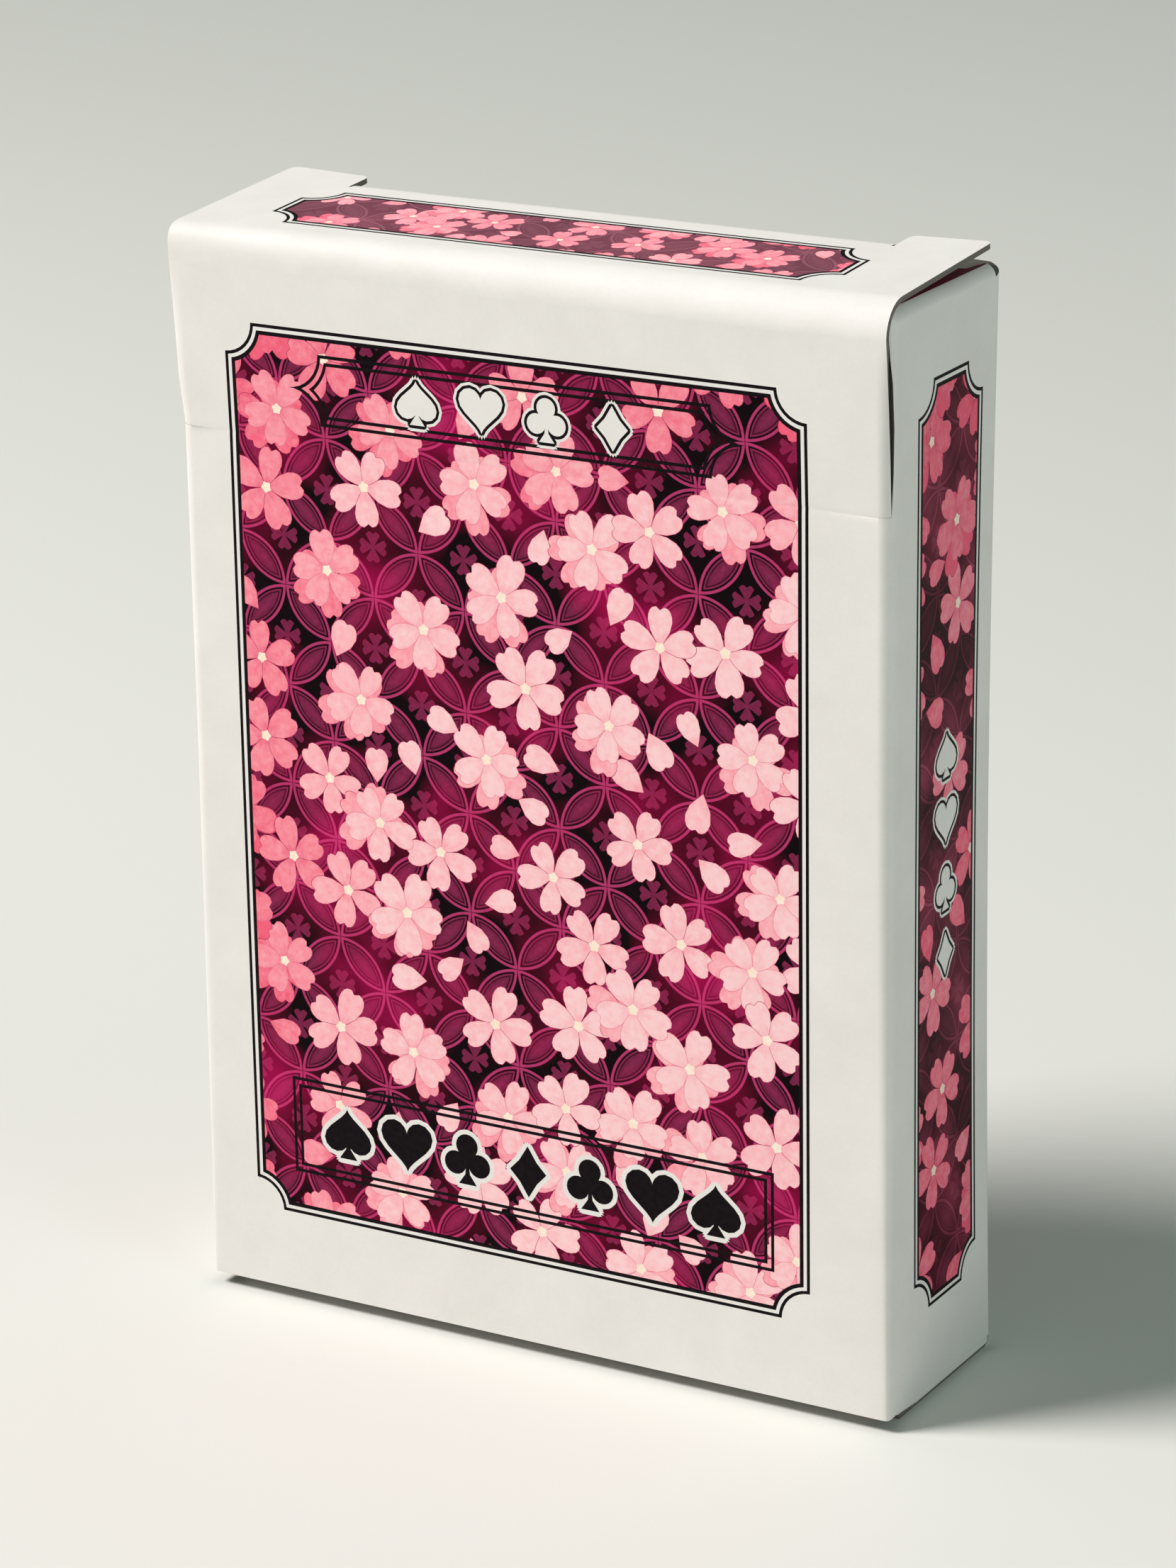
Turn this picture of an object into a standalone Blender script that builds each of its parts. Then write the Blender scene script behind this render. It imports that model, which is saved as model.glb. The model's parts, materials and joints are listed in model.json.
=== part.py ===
"""A pack of playing cards: a folded board carton with a slit-lock tuck lid, and the cards inside it.

The carton stands upright with its front towards -Y. The origin is the middle of its base, on the table.
Sizes are in millimetres and become metres where meshes are made.
"""

import math

import bmesh
import bpy
from mathutils import Matrix, Vector

MM = 0.001

# Carton sleeve: front, rear and side panels
WIDTH = 65.4
DEPTH = 19.7
BOARD = 0.45
SIDE_FOLD_RADIUS = 1.2
REAR_TOP = 93.0
SIDE_TOP = 92.1
FRONT_BOTTOM = 1.1
CREASE_GAP = 0.06

# Lid, as it sits on a closed carton that has been opened before
CREASE_HEIGHT = 76.9
SLIT = 0.1
STRIP_LENGTH = 13.9
STRIP_LEAN = 2.0
LID_SIDE_INSET = 0.2
TOP_FOLD_RADIUS = 3.0
LID_TILT = 3.0
EAR_REAR = 9.1
EAR_INNER = 25.7
EAR_CORNER_RADIUS = 0.7
EAR_INNER_RADIUS = 1.2

# Tuck tab: a neck bent down between the lid's ears, and wings that reach under the ears
TAB_BEND_START = 5.0
TAB_BEND_RADIUS = 3.2
TAB_LEAN = 4.0
TAB_STRAIGHT = 8.2
TAB_HALF_WIDTH = 31.0
TAB_TAPER = 0.8
TAB_CORNER_RADIUS = 7.0
TAB_NECK_GAP = 0.2
WING_GAP = 0.5
WING_SLOPE = 0.3

# Dust flaps under the lid
FLAP_FOLD_RADIUS = 1.0
FLAP_REACH = 13.5
FLAP_FRONT = -7.9
FLAP_REAR = 6.0
FLAP_ROOT_REAR = 8.1
FLAP_SHOULDER = 2.0
FLAP_FRONT_TAPER = 0.62
FLAP_REAR_TAPER = 0.25
FLAP_CORNER_RADIUS = 1.5

# Bottom closure, hinged on the rear panel and tucked behind the front panel
BOTTOM_FOLD_RADIUS = 0.85
BOTTOM_SIDE_INSET = 0.5
BOTTOM_TAB_FACE = -9.0
BOTTOM_TAB_RADIUS = 0.9
BOTTOM_TAB_STRAIGHT = 7.0
BOTTOM_TAB_HALF_WIDTH = 30.5
BOTTOM_TAB_CORNER_RADIUS = 5.0
BOTTOM_FLAP_UNDERSIDE = 0.5
BOTTOM_FLAP_RADIUS = 0.8
BOTTOM_FLAP_REACH = 18.0
BOTTOM_FLAP_FRONT = -7.3
BOTTOM_FLAP_REAR = 8.3

# Thumb notch in the rear panel, and the glue flap inside the left side panel
NOTCH_RADIUS = 9.6
NOTCH_CENTRE_ABOVE_EDGE = 1.5
GLUE_FLAP_FRONT = -3.5
GLUE_FLAP_ENDS = (4.0, 89.0)
GLUE_FLAP_TAPER = 3.0

# Cards
CARD_WIDTH = 63.5
CARD_HEIGHT = 88.9
CARD_THICKNESS = 0.275
CARD_PITCH = 0.29
CARD_CORNER_RADIUS = 3.5
DECK_REAR = 7.1
DECK_BASE = 1.1
SUITS = ("spades", "hearts", "clubs", "diamonds")
RANKS = (
    "ace", "two", "three", "four", "five", "six", "seven", "eight", "nine", "ten", "jack", "queen", "king"
)

HALF_WIDTH = WIDTH / 2
FRONT = -DEPTH / 2
REAR = DEPTH / 2
TOP_BEND = ("bend", TOP_FOLD_RADIUS, 90 + STRIP_LEAN - LID_TILT)
EAR_LENGTH = (EAR_REAR - TAB_BEND_START) / math.cos(math.radians(LID_TILT))

# Modelling allowances: facets in an arc, room that cutters keep from folds, and how far they stick out
ARC_STEPS = 6
CUT_MARGIN = 0.3
JOIN_INSET = 0.05
OVERSHOOT = 10.0
SAME_POINT = 0.001
CORNER = SIDE_FOLD_RADIUS + CUT_MARGIN

COATED_WHITE = (0.86, 0.85, 0.82)
PRINTED_BERRY = (0.16, 0.03, 0.08)
CARD_WHITE = (0.90, 0.89, 0.86)
BOARD_ROUGHNESS = 0.45
CARD_ROUGHNESS = 0.4


def clear_scene():
    for obj in list(bpy.data.objects):
        bpy.data.objects.remove(obj)


def paper_material(name, colour, roughness):
    material = bpy.data.materials.new(name)
    material.use_nodes = True
    shader = material.node_tree.nodes["Principled BSDF"]
    shader.inputs["Base Color"].default_value = (*colour, 1.0)
    shader.inputs["Roughness"].default_value = roughness
    shader.inputs["Metallic"].default_value = 0.0
    return material


def along(heading):
    """The unit vector of a heading in degrees, in the plane of a fold's section."""
    angle = math.radians(heading)
    return Vector((math.cos(angle), math.sin(angle)))


def right_of(heading):
    return along(heading - 90)


def fold_path(start, heading, steps):
    """Stations (distance, point, inward normal) on a sheet's outer face, along lines and right-hand bends.

    A step is ("line", length) or ("bend", outer radius, degrees).
    """
    point = Vector(start)
    distance = 0.0
    stations = [(distance, point, right_of(heading))]
    for kind, *sizes in steps:
        if kind == "line":
            distance += sizes[0]
            point = point + sizes[0] * along(heading)
            stations.append((distance, point, right_of(heading)))
            continue
        radius, turn = sizes
        centre = point + radius * right_of(heading)
        for step in range(1, ARC_STEPS + 1):
            turned = turn * step / ARC_STEPS
            inward = right_of(heading - turned)
            travelled = distance + radius * math.radians(turned)
            stations.append((travelled, centre - radius * inward, inward))
        heading -= turn
        distance, point, _ = stations[-1]
    return stations


def on_path(stations, distance):
    """The point and the inward normal at a distance along a folded sheet."""
    for (low, start, first), (high, end, last) in zip(stations, stations[1:]):
        if distance <= high + SAME_POINT:
            break
    share = (distance - low) / (high - low)
    return start.lerp(end, share), first.lerp(last, share)


def rounded_outline(corners):
    """A closed outline from corners (x, y) or (x, y, radius), each radius as an arc."""
    points = []
    for index, corner in enumerate(corners):
        here = Vector(corner[:2])
        if len(corner) == 2:
            points.append(here)
            continue
        radius = corner[2]
        before = (Vector(corners[index - 1][:2]) - here).normalized()
        after = (Vector(corners[(index + 1) % len(corners)][:2]) - here).normalized()
        half = before.angle(after) / 2
        centre = here + (before + after).normalized() * radius / math.sin(half)
        start = here + before * radius / math.tan(half) - centre
        end = here + after * radius / math.tan(half) - centre
        sweep = -start.angle_signed(end)
        for step in range(ARC_STEPS + 1):
            point = centre + Matrix.Rotation(sweep * step / ARC_STEPS, 2) @ start
            if not points or (point - points[-1]).length > SAME_POINT:
                points.append(point)
    return points


def to_xyz(plane, first, second, third):
    """A point from its two coordinates in a section plane and its place across that plane."""
    if plane == "YZ":
        return Vector((third, first, second))
    if plane == "XZ":
        return Vector((first, third, second))
    return Vector((first, second, third))


def finish_mesh(name, mesh_data):
    bmesh.ops.recalc_face_normals(mesh_data, faces=mesh_data.faces)
    mesh = bpy.data.meshes.new(name)
    mesh_data.to_mesh(mesh)
    mesh_data.free()
    return mesh


def add_object(name, mesh, material):
    obj = bpy.data.objects.new(name, mesh)
    bpy.context.scene.collection.objects.link(obj)
    if material:
        mesh.materials.append(material)
    return obj


def folded_sheet(name, blank, stations, plane, origin=(0, 0, 0), thickness=BOARD, mirror_x=False):
    """A flat blank bent to a path; its outline is in (distance along the path, place across it)."""
    mesh_data = bmesh.new()
    mesh_data.faces.new([mesh_data.verts.new((p.x, p.y, 0)) for p in blank])
    for distance, _, _ in stations[1:-1]:
        everything = mesh_data.verts[:] + mesh_data.edges[:] + mesh_data.faces[:]
        bmesh.ops.bisect_plane(
            mesh_data, geom=everything, dist=SAME_POINT, plane_co=(distance, 0, 0), plane_no=(1, 0, 0)
        )
    inside = bmesh.ops.extrude_face_region(mesh_data, geom=mesh_data.faces[:])["geom"]
    for vert in inside:
        if isinstance(vert, bmesh.types.BMVert):
            vert.co.z = thickness
    for vert in mesh_data.verts:
        point, inward = on_path(stations, vert.co.x)
        place_in_section = point + inward * vert.co.z
        folded = to_xyz(plane, place_in_section.x, place_in_section.y, vert.co.y)
        if mirror_x:
            folded.x = -folded.x
        vert.co = (folded - Vector(origin)) * MM
    return finish_mesh(name, mesh_data)


def prism_mesh(name, outline, plane, low, high):
    """An outline in a section plane, carried across that plane from low to high."""
    mesh_data = bmesh.new()
    ends = []
    for across in (low, high):
        ends.append([mesh_data.verts.new(to_xyz(plane, p.x, p.y, across) * MM) for p in outline])
    mesh_data.faces.new(ends[0])
    mesh_data.faces.new(ends[1])
    count = len(outline)
    for index in range(count):
        after = (index + 1) % count
        mesh_data.faces.new((ends[0][index], ends[0][after], ends[1][after], ends[1][index]))
    return finish_mesh(name, mesh_data)


def box_outline(low, high):
    return rounded_outline([low, (high[0], low[1]), high, (low[0], high[1])])


def boolean(obj, operation, mesh):
    """Cuts or joins obj with a hidden helper that has this mesh."""
    helper = add_object(mesh.name, mesh, None)
    helper.hide_render = True
    helper.display_type = "WIRE"
    helper.parent = obj
    modifier = obj.modifiers.new(mesh.name, "BOOLEAN")
    modifier.operation = operation
    modifier.solver = "EXACT"
    modifier.object = helper


def place(obj, origin, parent=None):
    """Puts an object whose mesh was made around origin, its joint, and hangs it on its parent."""
    obj.location = Vector(origin) * MM
    if parent:
        obj.parent = parent
        obj.location = obj.location - Vector(parent["joint"]) * MM
    obj["joint"] = origin


def sleeve_contour(offset):
    radius = SIDE_FOLD_RADIUS - offset
    x = HALF_WIDTH - offset
    y = REAR - offset
    return rounded_outline([(-x, -y, radius), (x, -y, radius), (x, y, radius), (-x, y, radius)])


def sleeve_tube():
    mesh_data = bmesh.new()
    loops = []
    for offset, z in (
        (0, BOTTOM_FOLD_RADIUS),
        (0, REAR_TOP),
        (BOARD, REAR_TOP),
        (BOARD, BOTTOM_FOLD_RADIUS),
    ):
        loops.append([mesh_data.verts.new(Vector((p.x, p.y, z)) * MM) for p in sleeve_contour(offset)])
    count = len(loops[0])
    for loop, following in zip(loops, loops[1:] + loops[:1]):
        for index in range(count):
            after = (index + 1) % count
            mesh_data.faces.new((loop[index], loop[after], following[after], following[index]))
    return finish_mesh("carton_sleeve", mesh_data)


def cut_sleeve_edges(sleeve):
    """Trims the tube to its lid opening, its raw front edge, and the side panels between the flaps."""
    out = HALF_WIDTH + OVERSHOOT
    top = REAR_TOP + OVERSHOOT
    front = FRONT - OVERSHOOT
    flap_fold = BOTTOM_FLAP_UNDERSIDE + BOTTOM_FLAP_RADIUS
    cuts = (
        ("lid_opening", (front, CREASE_HEIGHT - CREASE_GAP), (FRONT + BOARD + SLIT, top), -out, out),
        ("front_lower_edge", (front, -OVERSHOOT), (FRONT + CORNER, FRONT_BOTTOM), -out, out),
        ("side_upper_edge", (front, SIDE_TOP - CREASE_GAP), (REAR - CORNER, top), -out, out),
        ("left_lower_edge", (front, -OVERSHOOT), (REAR - CORNER, flap_fold), -out, -HALF_WIDTH + CORNER),
        ("right_lower_edge", (front, -OVERSHOOT), (REAR - CORNER, flap_fold), HALF_WIDTH - CORNER, out),
    )
    for name, low, high, left, right in cuts:
        boolean(sleeve, "DIFFERENCE", prism_mesh(name, box_outline(low, high), "YZ", left, right))


def cut_thumb_notch(sleeve):
    centre = REAR_TOP + NOTCH_CENTRE_ABOVE_EDGE
    radius = NOTCH_RADIUS
    outline = rounded_outline([
        (-radius, centre - radius, radius),
        (radius, centre - radius, radius),
        (radius, centre + radius),
        (-radius, centre + radius),
    ])
    inner = REAR - SIDE_FOLD_RADIUS
    boolean(sleeve, "DIFFERENCE", prism_mesh("thumb_notch", outline, "XZ", inner, REAR + OVERSHOOT))


def add_glue_flap(sleeve):
    low, high = GLUE_FLAP_ENDS
    rear = REAR - CORNER
    outline = rounded_outline([
        (GLUE_FLAP_FRONT, low + GLUE_FLAP_TAPER),
        (rear, low),
        (rear, high),
        (GLUE_FLAP_FRONT, high - GLUE_FLAP_TAPER),
    ])
    wall = -HALF_WIDTH + BOARD
    boolean(sleeve, "UNION", prism_mesh("glue_flap", outline, "YZ", wall - BOARD / 2, wall + BOARD))


def add_bottom_flaps(sleeve):
    """The flaps folded in from the foot of each side panel, which lie on the bottom lid."""
    tip = -HALF_WIDTH + BOTTOM_FLAP_RADIUS + BOTTOM_FLAP_REACH
    start = (tip + JOIN_INSET, BOTTOM_FLAP_UNDERSIDE + JOIN_INSET)
    bend = ("bend", BOTTOM_FLAP_RADIUS - JOIN_INSET, 90)
    stations = fold_path(start, 180, [("line", BOTTOM_FLAP_REACH), bend, ("line", 2 * BOARD)])
    length = stations[-1][0]
    blank = box_outline((0, BOTTOM_FLAP_FRONT), (length, BOTTOM_FLAP_REAR))
    thickness = BOARD - 2 * JOIN_INSET
    for name, mirrored in (("bottom_flap_left", False), ("bottom_flap_right", True)):
        flap = folded_sheet(name, blank, stations, "XZ", thickness=thickness, mirror_x=mirrored)
        boolean(sleeve, "UNION", flap)


def make_sleeve(material):
    sleeve = add_object("carton_sleeve", sleeve_tube(), material)
    place(sleeve, (0, 0, 0))
    cut_sleeve_edges(sleeve)
    cut_thumb_notch(sleeve)
    add_glue_flap(sleeve)
    add_bottom_flaps(sleeve)
    return sleeve


def lid_points():
    """Section points (y, z) of the lid: its crease, its top fold, the start of its flat, and of the tab."""
    crease = Vector((FRONT, CREASE_HEIGHT))
    fold = crease + STRIP_LENGTH * along(90 + STRIP_LEAN)
    _, flat, _ = fold_path(fold, 90 + STRIP_LEAN, [TOP_BEND])[-1]
    tab = flat + (TAB_BEND_START - flat.x) / along(LID_TILT).x * along(LID_TILT)
    return crease, fold, flat, tab


def make_lid_strip(material, sleeve):
    crease, _, _, _ = lid_points()
    length = STRIP_LENGTH - CREASE_GAP
    stations = fold_path(crease, 90 + STRIP_LEAN, [("line", length)])
    half = HALF_WIDTH - LID_SIDE_INSET
    origin = (0, crease.x, crease.y)
    mesh = folded_sheet("lid_hinge_strip", box_outline((0, -half), (length, half)), stations, "YZ", origin)
    strip = add_object("lid_hinge_strip", mesh, material)
    place(strip, origin, sleeve)
    return strip


def make_lid_top(material, strip):
    """The top panel with its rounded front fold, and the two ears that stay flat beside the tab."""
    _, fold, flat, tab = lid_points()
    to_neck = (tab - flat).length
    to_ear = to_neck + EAR_LENGTH
    stations = fold_path(fold, 90 + STRIP_LEAN, [TOP_BEND, ("line", to_ear)])
    ear = stations[-1][0]
    neck = ear - EAR_LENGTH
    half = HALF_WIDTH - LID_SIDE_INSET
    blank = rounded_outline([
        (0, -half),
        (ear, -half, EAR_CORNER_RADIUS),
        (ear, -EAR_INNER, EAR_INNER_RADIUS),
        (neck, -EAR_INNER),
        (neck, EAR_INNER),
        (ear, EAR_INNER, EAR_INNER_RADIUS),
        (ear, half, EAR_CORNER_RADIUS),
        (0, half),
    ])
    origin = (0, fold.x, fold.y)
    lid = add_object("lid_top", folded_sheet("lid_top", blank, stations, "YZ", origin), material)
    place(lid, origin, strip)
    return lid


def make_tuck_tab(material, lid):
    _, _, _, start = lid_points()
    turn = 90 + LID_TILT - TAB_LEAN
    bend = ("bend", TAB_BEND_RADIUS, turn)
    stations = fold_path(start, LID_TILT, [("line", CREASE_GAP), bend, ("line", TAB_STRAIGHT)])
    end = stations[-1][0]
    slit = EAR_LENGTH + WING_GAP
    neck = EAR_INNER - TAB_NECK_GAP
    foot = TAB_HALF_WIDTH - TAB_TAPER
    blank = rounded_outline([
        (CREASE_GAP, -neck),
        (slit, -neck),
        (slit + WING_SLOPE, -TAB_HALF_WIDTH),
        (end, -foot, TAB_CORNER_RADIUS),
        (end, foot, TAB_CORNER_RADIUS),
        (slit + WING_SLOPE, TAB_HALF_WIDTH),
        (slit, neck),
        (CREASE_GAP, neck),
    ])
    origin = (0, start.x, start.y)
    tab = add_object("lid_tuck_tab", folded_sheet("lid_tuck_tab", blank, stations, "YZ", origin), material)
    place(tab, origin, lid)


def make_dust_flap(name, material, sleeve, mirrored):
    """A flap folded in from a side panel's top edge, tapered, and set back from the tuck tab behind it."""
    side = 1 if mirrored else -1
    flat = FLAP_REACH - FLAP_FOLD_RADIUS
    stations = fold_path((-HALF_WIDTH, SIDE_TOP), 90, [("bend", FLAP_FOLD_RADIUS, 90), ("line", flat)])
    tip = stations[-1][0]
    bend_end = tip - flat
    front_taper = FLAP_FRONT_TAPER * flat
    rear_taper = FLAP_REAR_TAPER * (tip - FLAP_SHOULDER)
    blank = rounded_outline([
        (0, FLAP_FRONT),
        (bend_end, FLAP_FRONT),
        (tip, FLAP_FRONT + front_taper, FLAP_CORNER_RADIUS),
        (tip, FLAP_REAR - rear_taper, FLAP_CORNER_RADIUS),
        (FLAP_SHOULDER, FLAP_REAR),
        (bend_end, FLAP_ROOT_REAR),
        (0, FLAP_ROOT_REAR),
    ])
    origin = (side * HALF_WIDTH, 0, SIDE_TOP)
    flap = add_object(name, folded_sheet(name, blank, stations, "XZ", origin, mirror_x=mirrored), material)
    place(flap, origin, sleeve)


def make_bottom_lid(material, sleeve):
    flat = REAR - BOTTOM_FOLD_RADIUS - (BOTTOM_TAB_FACE + BOTTOM_TAB_RADIUS) - CREASE_GAP
    bend = ("bend", BOTTOM_FOLD_RADIUS - CREASE_GAP, 90)
    stations = fold_path((REAR, BOTTOM_FOLD_RADIUS - CREASE_GAP), -90, [bend, ("line", flat)])
    half = HALF_WIDTH - BOTTOM_SIDE_INSET
    blank = box_outline((0, -half), (stations[-1][0], half))
    origin = (0, REAR, BOTTOM_FOLD_RADIUS)
    lid = add_object("bottom_lid", folded_sheet("bottom_lid", blank, stations, "YZ", origin), material)
    place(lid, origin, sleeve)
    return lid


def make_bottom_tab(material, bottom_lid):
    fold = BOTTOM_TAB_FACE + BOTTOM_TAB_RADIUS
    stations = fold_path((fold, 0), 180, [("bend", BOTTOM_TAB_RADIUS, 90), ("line", BOTTOM_TAB_STRAIGHT)])
    end = stations[-1][0]
    half = BOTTOM_TAB_HALF_WIDTH
    radius = BOTTOM_TAB_CORNER_RADIUS
    blank = rounded_outline([(0, -half), (end, -half, radius), (end, half, radius), (0, half)])
    origin = (0, fold, BOARD)
    mesh = folded_sheet("bottom_tuck_tab", blank, stations, "YZ", origin)
    place(add_object("bottom_tuck_tab", mesh, material), origin, bottom_lid)


def make_cards(material):
    """The cards stand on their short edges, faces to the front, with the ace of spades foremost."""
    deck = bpy.data.objects.new("deck", None)
    bpy.context.scene.collection.objects.link(deck)
    deck.location = Vector((BOARD / 2, DECK_REAR, DECK_BASE)) * MM
    half = CARD_WIDTH / 2
    radius = CARD_CORNER_RADIUS
    outline = rounded_outline([
        (-half, 0, radius),
        (half, 0, radius),
        (half, CARD_HEIGHT, radius),
        (-half, CARD_HEIGHT, radius),
    ])
    mesh = prism_mesh("card", outline, "XZ", -CARD_THICKNESS, 0)
    mesh.materials.append(material)
    names = [f"{rank}_of_{suit}" for suit in SUITS for rank in RANKS]
    for count_from_rear, name in enumerate(reversed(names)):
        card = add_object(name, mesh, None)
        card.parent = deck
        card.location.y = -count_from_rear * CARD_PITCH * MM


def main():
    clear_scene()
    white = paper_material("coated_board", COATED_WHITE, BOARD_ROUGHNESS)
    berry = paper_material("printed_board", PRINTED_BERRY, BOARD_ROUGHNESS)
    stock = paper_material("card_stock", CARD_WHITE, CARD_ROUGHNESS)
    sleeve = make_sleeve(white)
    strip = make_lid_strip(white, sleeve)
    lid = make_lid_top(white, strip)
    make_tuck_tab(white, lid)
    make_dust_flap("dust_flap_left", berry, sleeve, False)
    make_dust_flap("dust_flap_right", berry, sleeve, True)
    bottom = make_bottom_lid(white, sleeve)
    make_bottom_tab(white, bottom)
    make_cards(stock)


main()
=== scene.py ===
"""The looks of a boxed deck of playing cards: a printed, folded board carton and its printed cards.

Each panel of the carton is a flat blank that is printed, bent along a section and given its board
thickness. Sizes are in millimetres and become metres where meshes are made.
"""

import json
import math
import random
from collections import namedtuple
from functools import lru_cache

import bpy
from mathutils import Matrix, Vector
from mathutils.geometry import delaunay_2d_cdt


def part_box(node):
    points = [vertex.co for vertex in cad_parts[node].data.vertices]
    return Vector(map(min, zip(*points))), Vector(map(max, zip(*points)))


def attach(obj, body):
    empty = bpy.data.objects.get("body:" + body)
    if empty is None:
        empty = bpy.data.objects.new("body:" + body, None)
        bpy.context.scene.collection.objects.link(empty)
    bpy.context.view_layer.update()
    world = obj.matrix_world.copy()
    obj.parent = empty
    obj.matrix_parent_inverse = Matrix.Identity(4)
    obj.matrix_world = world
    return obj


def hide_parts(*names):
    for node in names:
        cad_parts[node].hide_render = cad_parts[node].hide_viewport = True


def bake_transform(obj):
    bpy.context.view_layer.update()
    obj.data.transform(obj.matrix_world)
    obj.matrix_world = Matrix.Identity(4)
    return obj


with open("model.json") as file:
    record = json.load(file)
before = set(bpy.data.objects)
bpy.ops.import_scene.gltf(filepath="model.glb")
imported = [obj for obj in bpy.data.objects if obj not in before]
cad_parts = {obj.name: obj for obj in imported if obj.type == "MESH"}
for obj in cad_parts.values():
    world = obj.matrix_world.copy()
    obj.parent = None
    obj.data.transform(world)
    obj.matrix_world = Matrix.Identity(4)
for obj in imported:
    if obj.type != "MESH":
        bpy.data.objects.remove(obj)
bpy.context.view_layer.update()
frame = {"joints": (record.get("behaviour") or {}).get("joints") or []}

MM = 0.001


def node_box(node):
    low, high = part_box(node)
    return low / MM, high / MM


def joint_point(name):
    joint = next(j for j in frame["joints"] if j["name"] == name)
    return Vector(joint["pos_m"]) / MM


# Places that the frame gives
SLEEVE_LOW, SLEEVE_HIGH = node_box("carton_sleeve")
HALF_WIDTH = SLEEVE_HIGH.x
FRONT = SLEEVE_LOW.y
REAR = SLEEVE_HIGH.y
REAR_TOP = SLEEVE_HIGH.z
CREASE = joint_point("lid_crease").z
LID_FOLD = joint_point("lid_top_fold").yz
TAB_NECK = joint_point("tuck_tab_fold").yz
SIDE_TOP = joint_point("left_dust_flap_fold").z
BOTTOM_FOLD = joint_point("bottom_lid_crease").z
BOTTOM_TAB_FOLD = joint_point("bottom_tab_fold").y

# Board and folds of the carton
BOARD = 0.45
SIDE_RADIUS = 1.2
SEAM_GAP = 0.03
SEAM_RADIUS = 0.9
SEAM_SETBACK = 0.5
CORNER_RISE = 0.3
POST_RISE = 0.8
POST_SLOPE = 2.5
FRONT_BOTTOM = 1.1
STRIP_LEAN = 2.0
LID_TILT = 3.0
TOP_RADIUS = 3.0
LID_INSET = 0.22
EAR_REAR = 9.1
EAR_INNER = (-24.85, 25.7)
EAR_CORNER = 0.7
EAR_INNER_CORNER = 0.8
EAR_SLANT = 0.7
TAB_RADIUS = 3.2
TAB_LEAN = 4.0
TAB_STRAIGHT = 8.2
TAB_HALF = 31.0
TAB_TAPER = 0.8
TAB_CORNER = 7.0
TAB_NECK_GAP = 0.2
WING_GAP = 0.5
WING_SLOPE = 0.3
FLAP_RADIUS = 1.0
FLAP_REACH = 13.5
FLAP_FRONT = -7.9
FLAP_BEND_FRONT = -9.35
FLAP_REAR = 6.0
FLAP_ROOT_REAR = 8.33
FLAP_SHOULDER = 2.0
FLAP_FRONT_TAPER = 0.62
FLAP_REAR_TAPER = 0.25
FLAP_CORNER = 1.5
# The unprinted band at a dust flap's fold, kept narrow so that the berry print also serves as painted
# shade under the lid
FLAP_BARE = 1.35
BOTTOM_INSET = 0.5
BOTTOM_TAB_RADIUS = 0.9
BOTTOM_TAB_STRAIGHT = 7.0
BOTTOM_TAB_HALF = 30.5
BOTTOM_TAB_CORNER = 5.0
FOOT_FLAP_HEIGHT = 0.5
FOOT_FLAP_RADIUS = 0.8
FOOT_FLAP_REACH = 18.0
FOOT_FLAP_SIDES = (-7.3, 8.3)
FOOT_ROOT = (-9.3, 8.65)
FOOT_CREASE = 0.55
FOOT_LIFT = 0.65
FOOT_LIFT_REACH = 5.0
FOOT_TUCK = 0.04
FOOT_TUCK_START = -8.0
SIDE_BOTTOM = FOOT_FLAP_HEIGHT + FOOT_FLAP_RADIUS
NOTCH_RADIUS = 9.6
NOTCH_ABOVE_EDGE = 1.5
GLUE_FLAP_FRONT = -3.5
GLUE_FLAP_ENDS = (4.0, 89.0)
GLUE_FLAP_TAPER = 3.0

# How far round the front fold the side panels' free edges lie beside the lid: a share of the height
# from the crease to the side panels' top, and degrees
SLIT_EDGE = (
    (0.0, 55.5), (0.23, 64.0), (0.46, 66.5), (0.69, 59.0), (0.83, 47.0), (0.93, 42.0), (1.0, 46.0)
)

# How the board gives: a front that bellies, a lid that sits askew, folds that are sharper at the left
# or at the foot, a bottom fold that lies back, a rear edge that is pressed in, a scored crease
FRONT_BELLY = 0.2
LID_FLARE = 0.35
FLARE_START = 28.0
FLARE_RISE = 4.0
LID_YAW = 0.3
LID_TURN = 0.2
TIGHTNESS = 0.5
TIGHT_START = 15.0
FOOT_SHARPNESS = 0.7
FOOT_SHARP_HEIGHT = 50.0
RECESS = 1.3
RECESS_HEIGHT = 2.2
RECESS_START = -4.0
PRESSED_IN = Vector((-0.2, -0.7, 0.0))
SCORE_DEPTH = 0.02
SCORE_WIDTH = 0.6

# Mesh fineness
DEGREES_PER_FACET = 7.5
FEWEST_FACETS = 3
ARC_STEPS = 8
NOTCH_STEPS = 32
CIRCLE_STEPS = 20
SCORE_STEPS = 6
GRID = 7.0
CURL_STEP = 2.0
CURL_SHARES = (0.0, 0.4, 0.7, 0.88)
FLAP_ROOT_SHARES = (0.0, 0.25, 0.45, 0.6)
FOOT_LIFT_LINES = (0.25, 0.5, 0.75, 1.0)
FOOT_LIFT_GRID = (0.2, 0.4, 0.6, 0.8, 1.0)
SAME_POINT = 0.001
NORMAL_STEP = 0.02


# Plane geometry


def along(heading):
    """The unit vector of a heading in degrees, in the plane of a fold's section."""
    angle = math.radians(heading)
    return Vector((math.cos(angle), math.sin(angle)))


def right_of(heading):
    return along(heading - 90)


def clamp(value):
    return min(1.0, max(0.0, value))


def stations(start, length, step=GRID):
    """Places at even steps within a length, without its start."""
    return [start + step * index for index in range(1, int(length / step) + 1)]


def extent(points):
    """The low and high corners of the box round some points."""
    return [[pick(p[axis] for p in points) for axis in (0, 1)] for pick in (min, max)]


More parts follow.
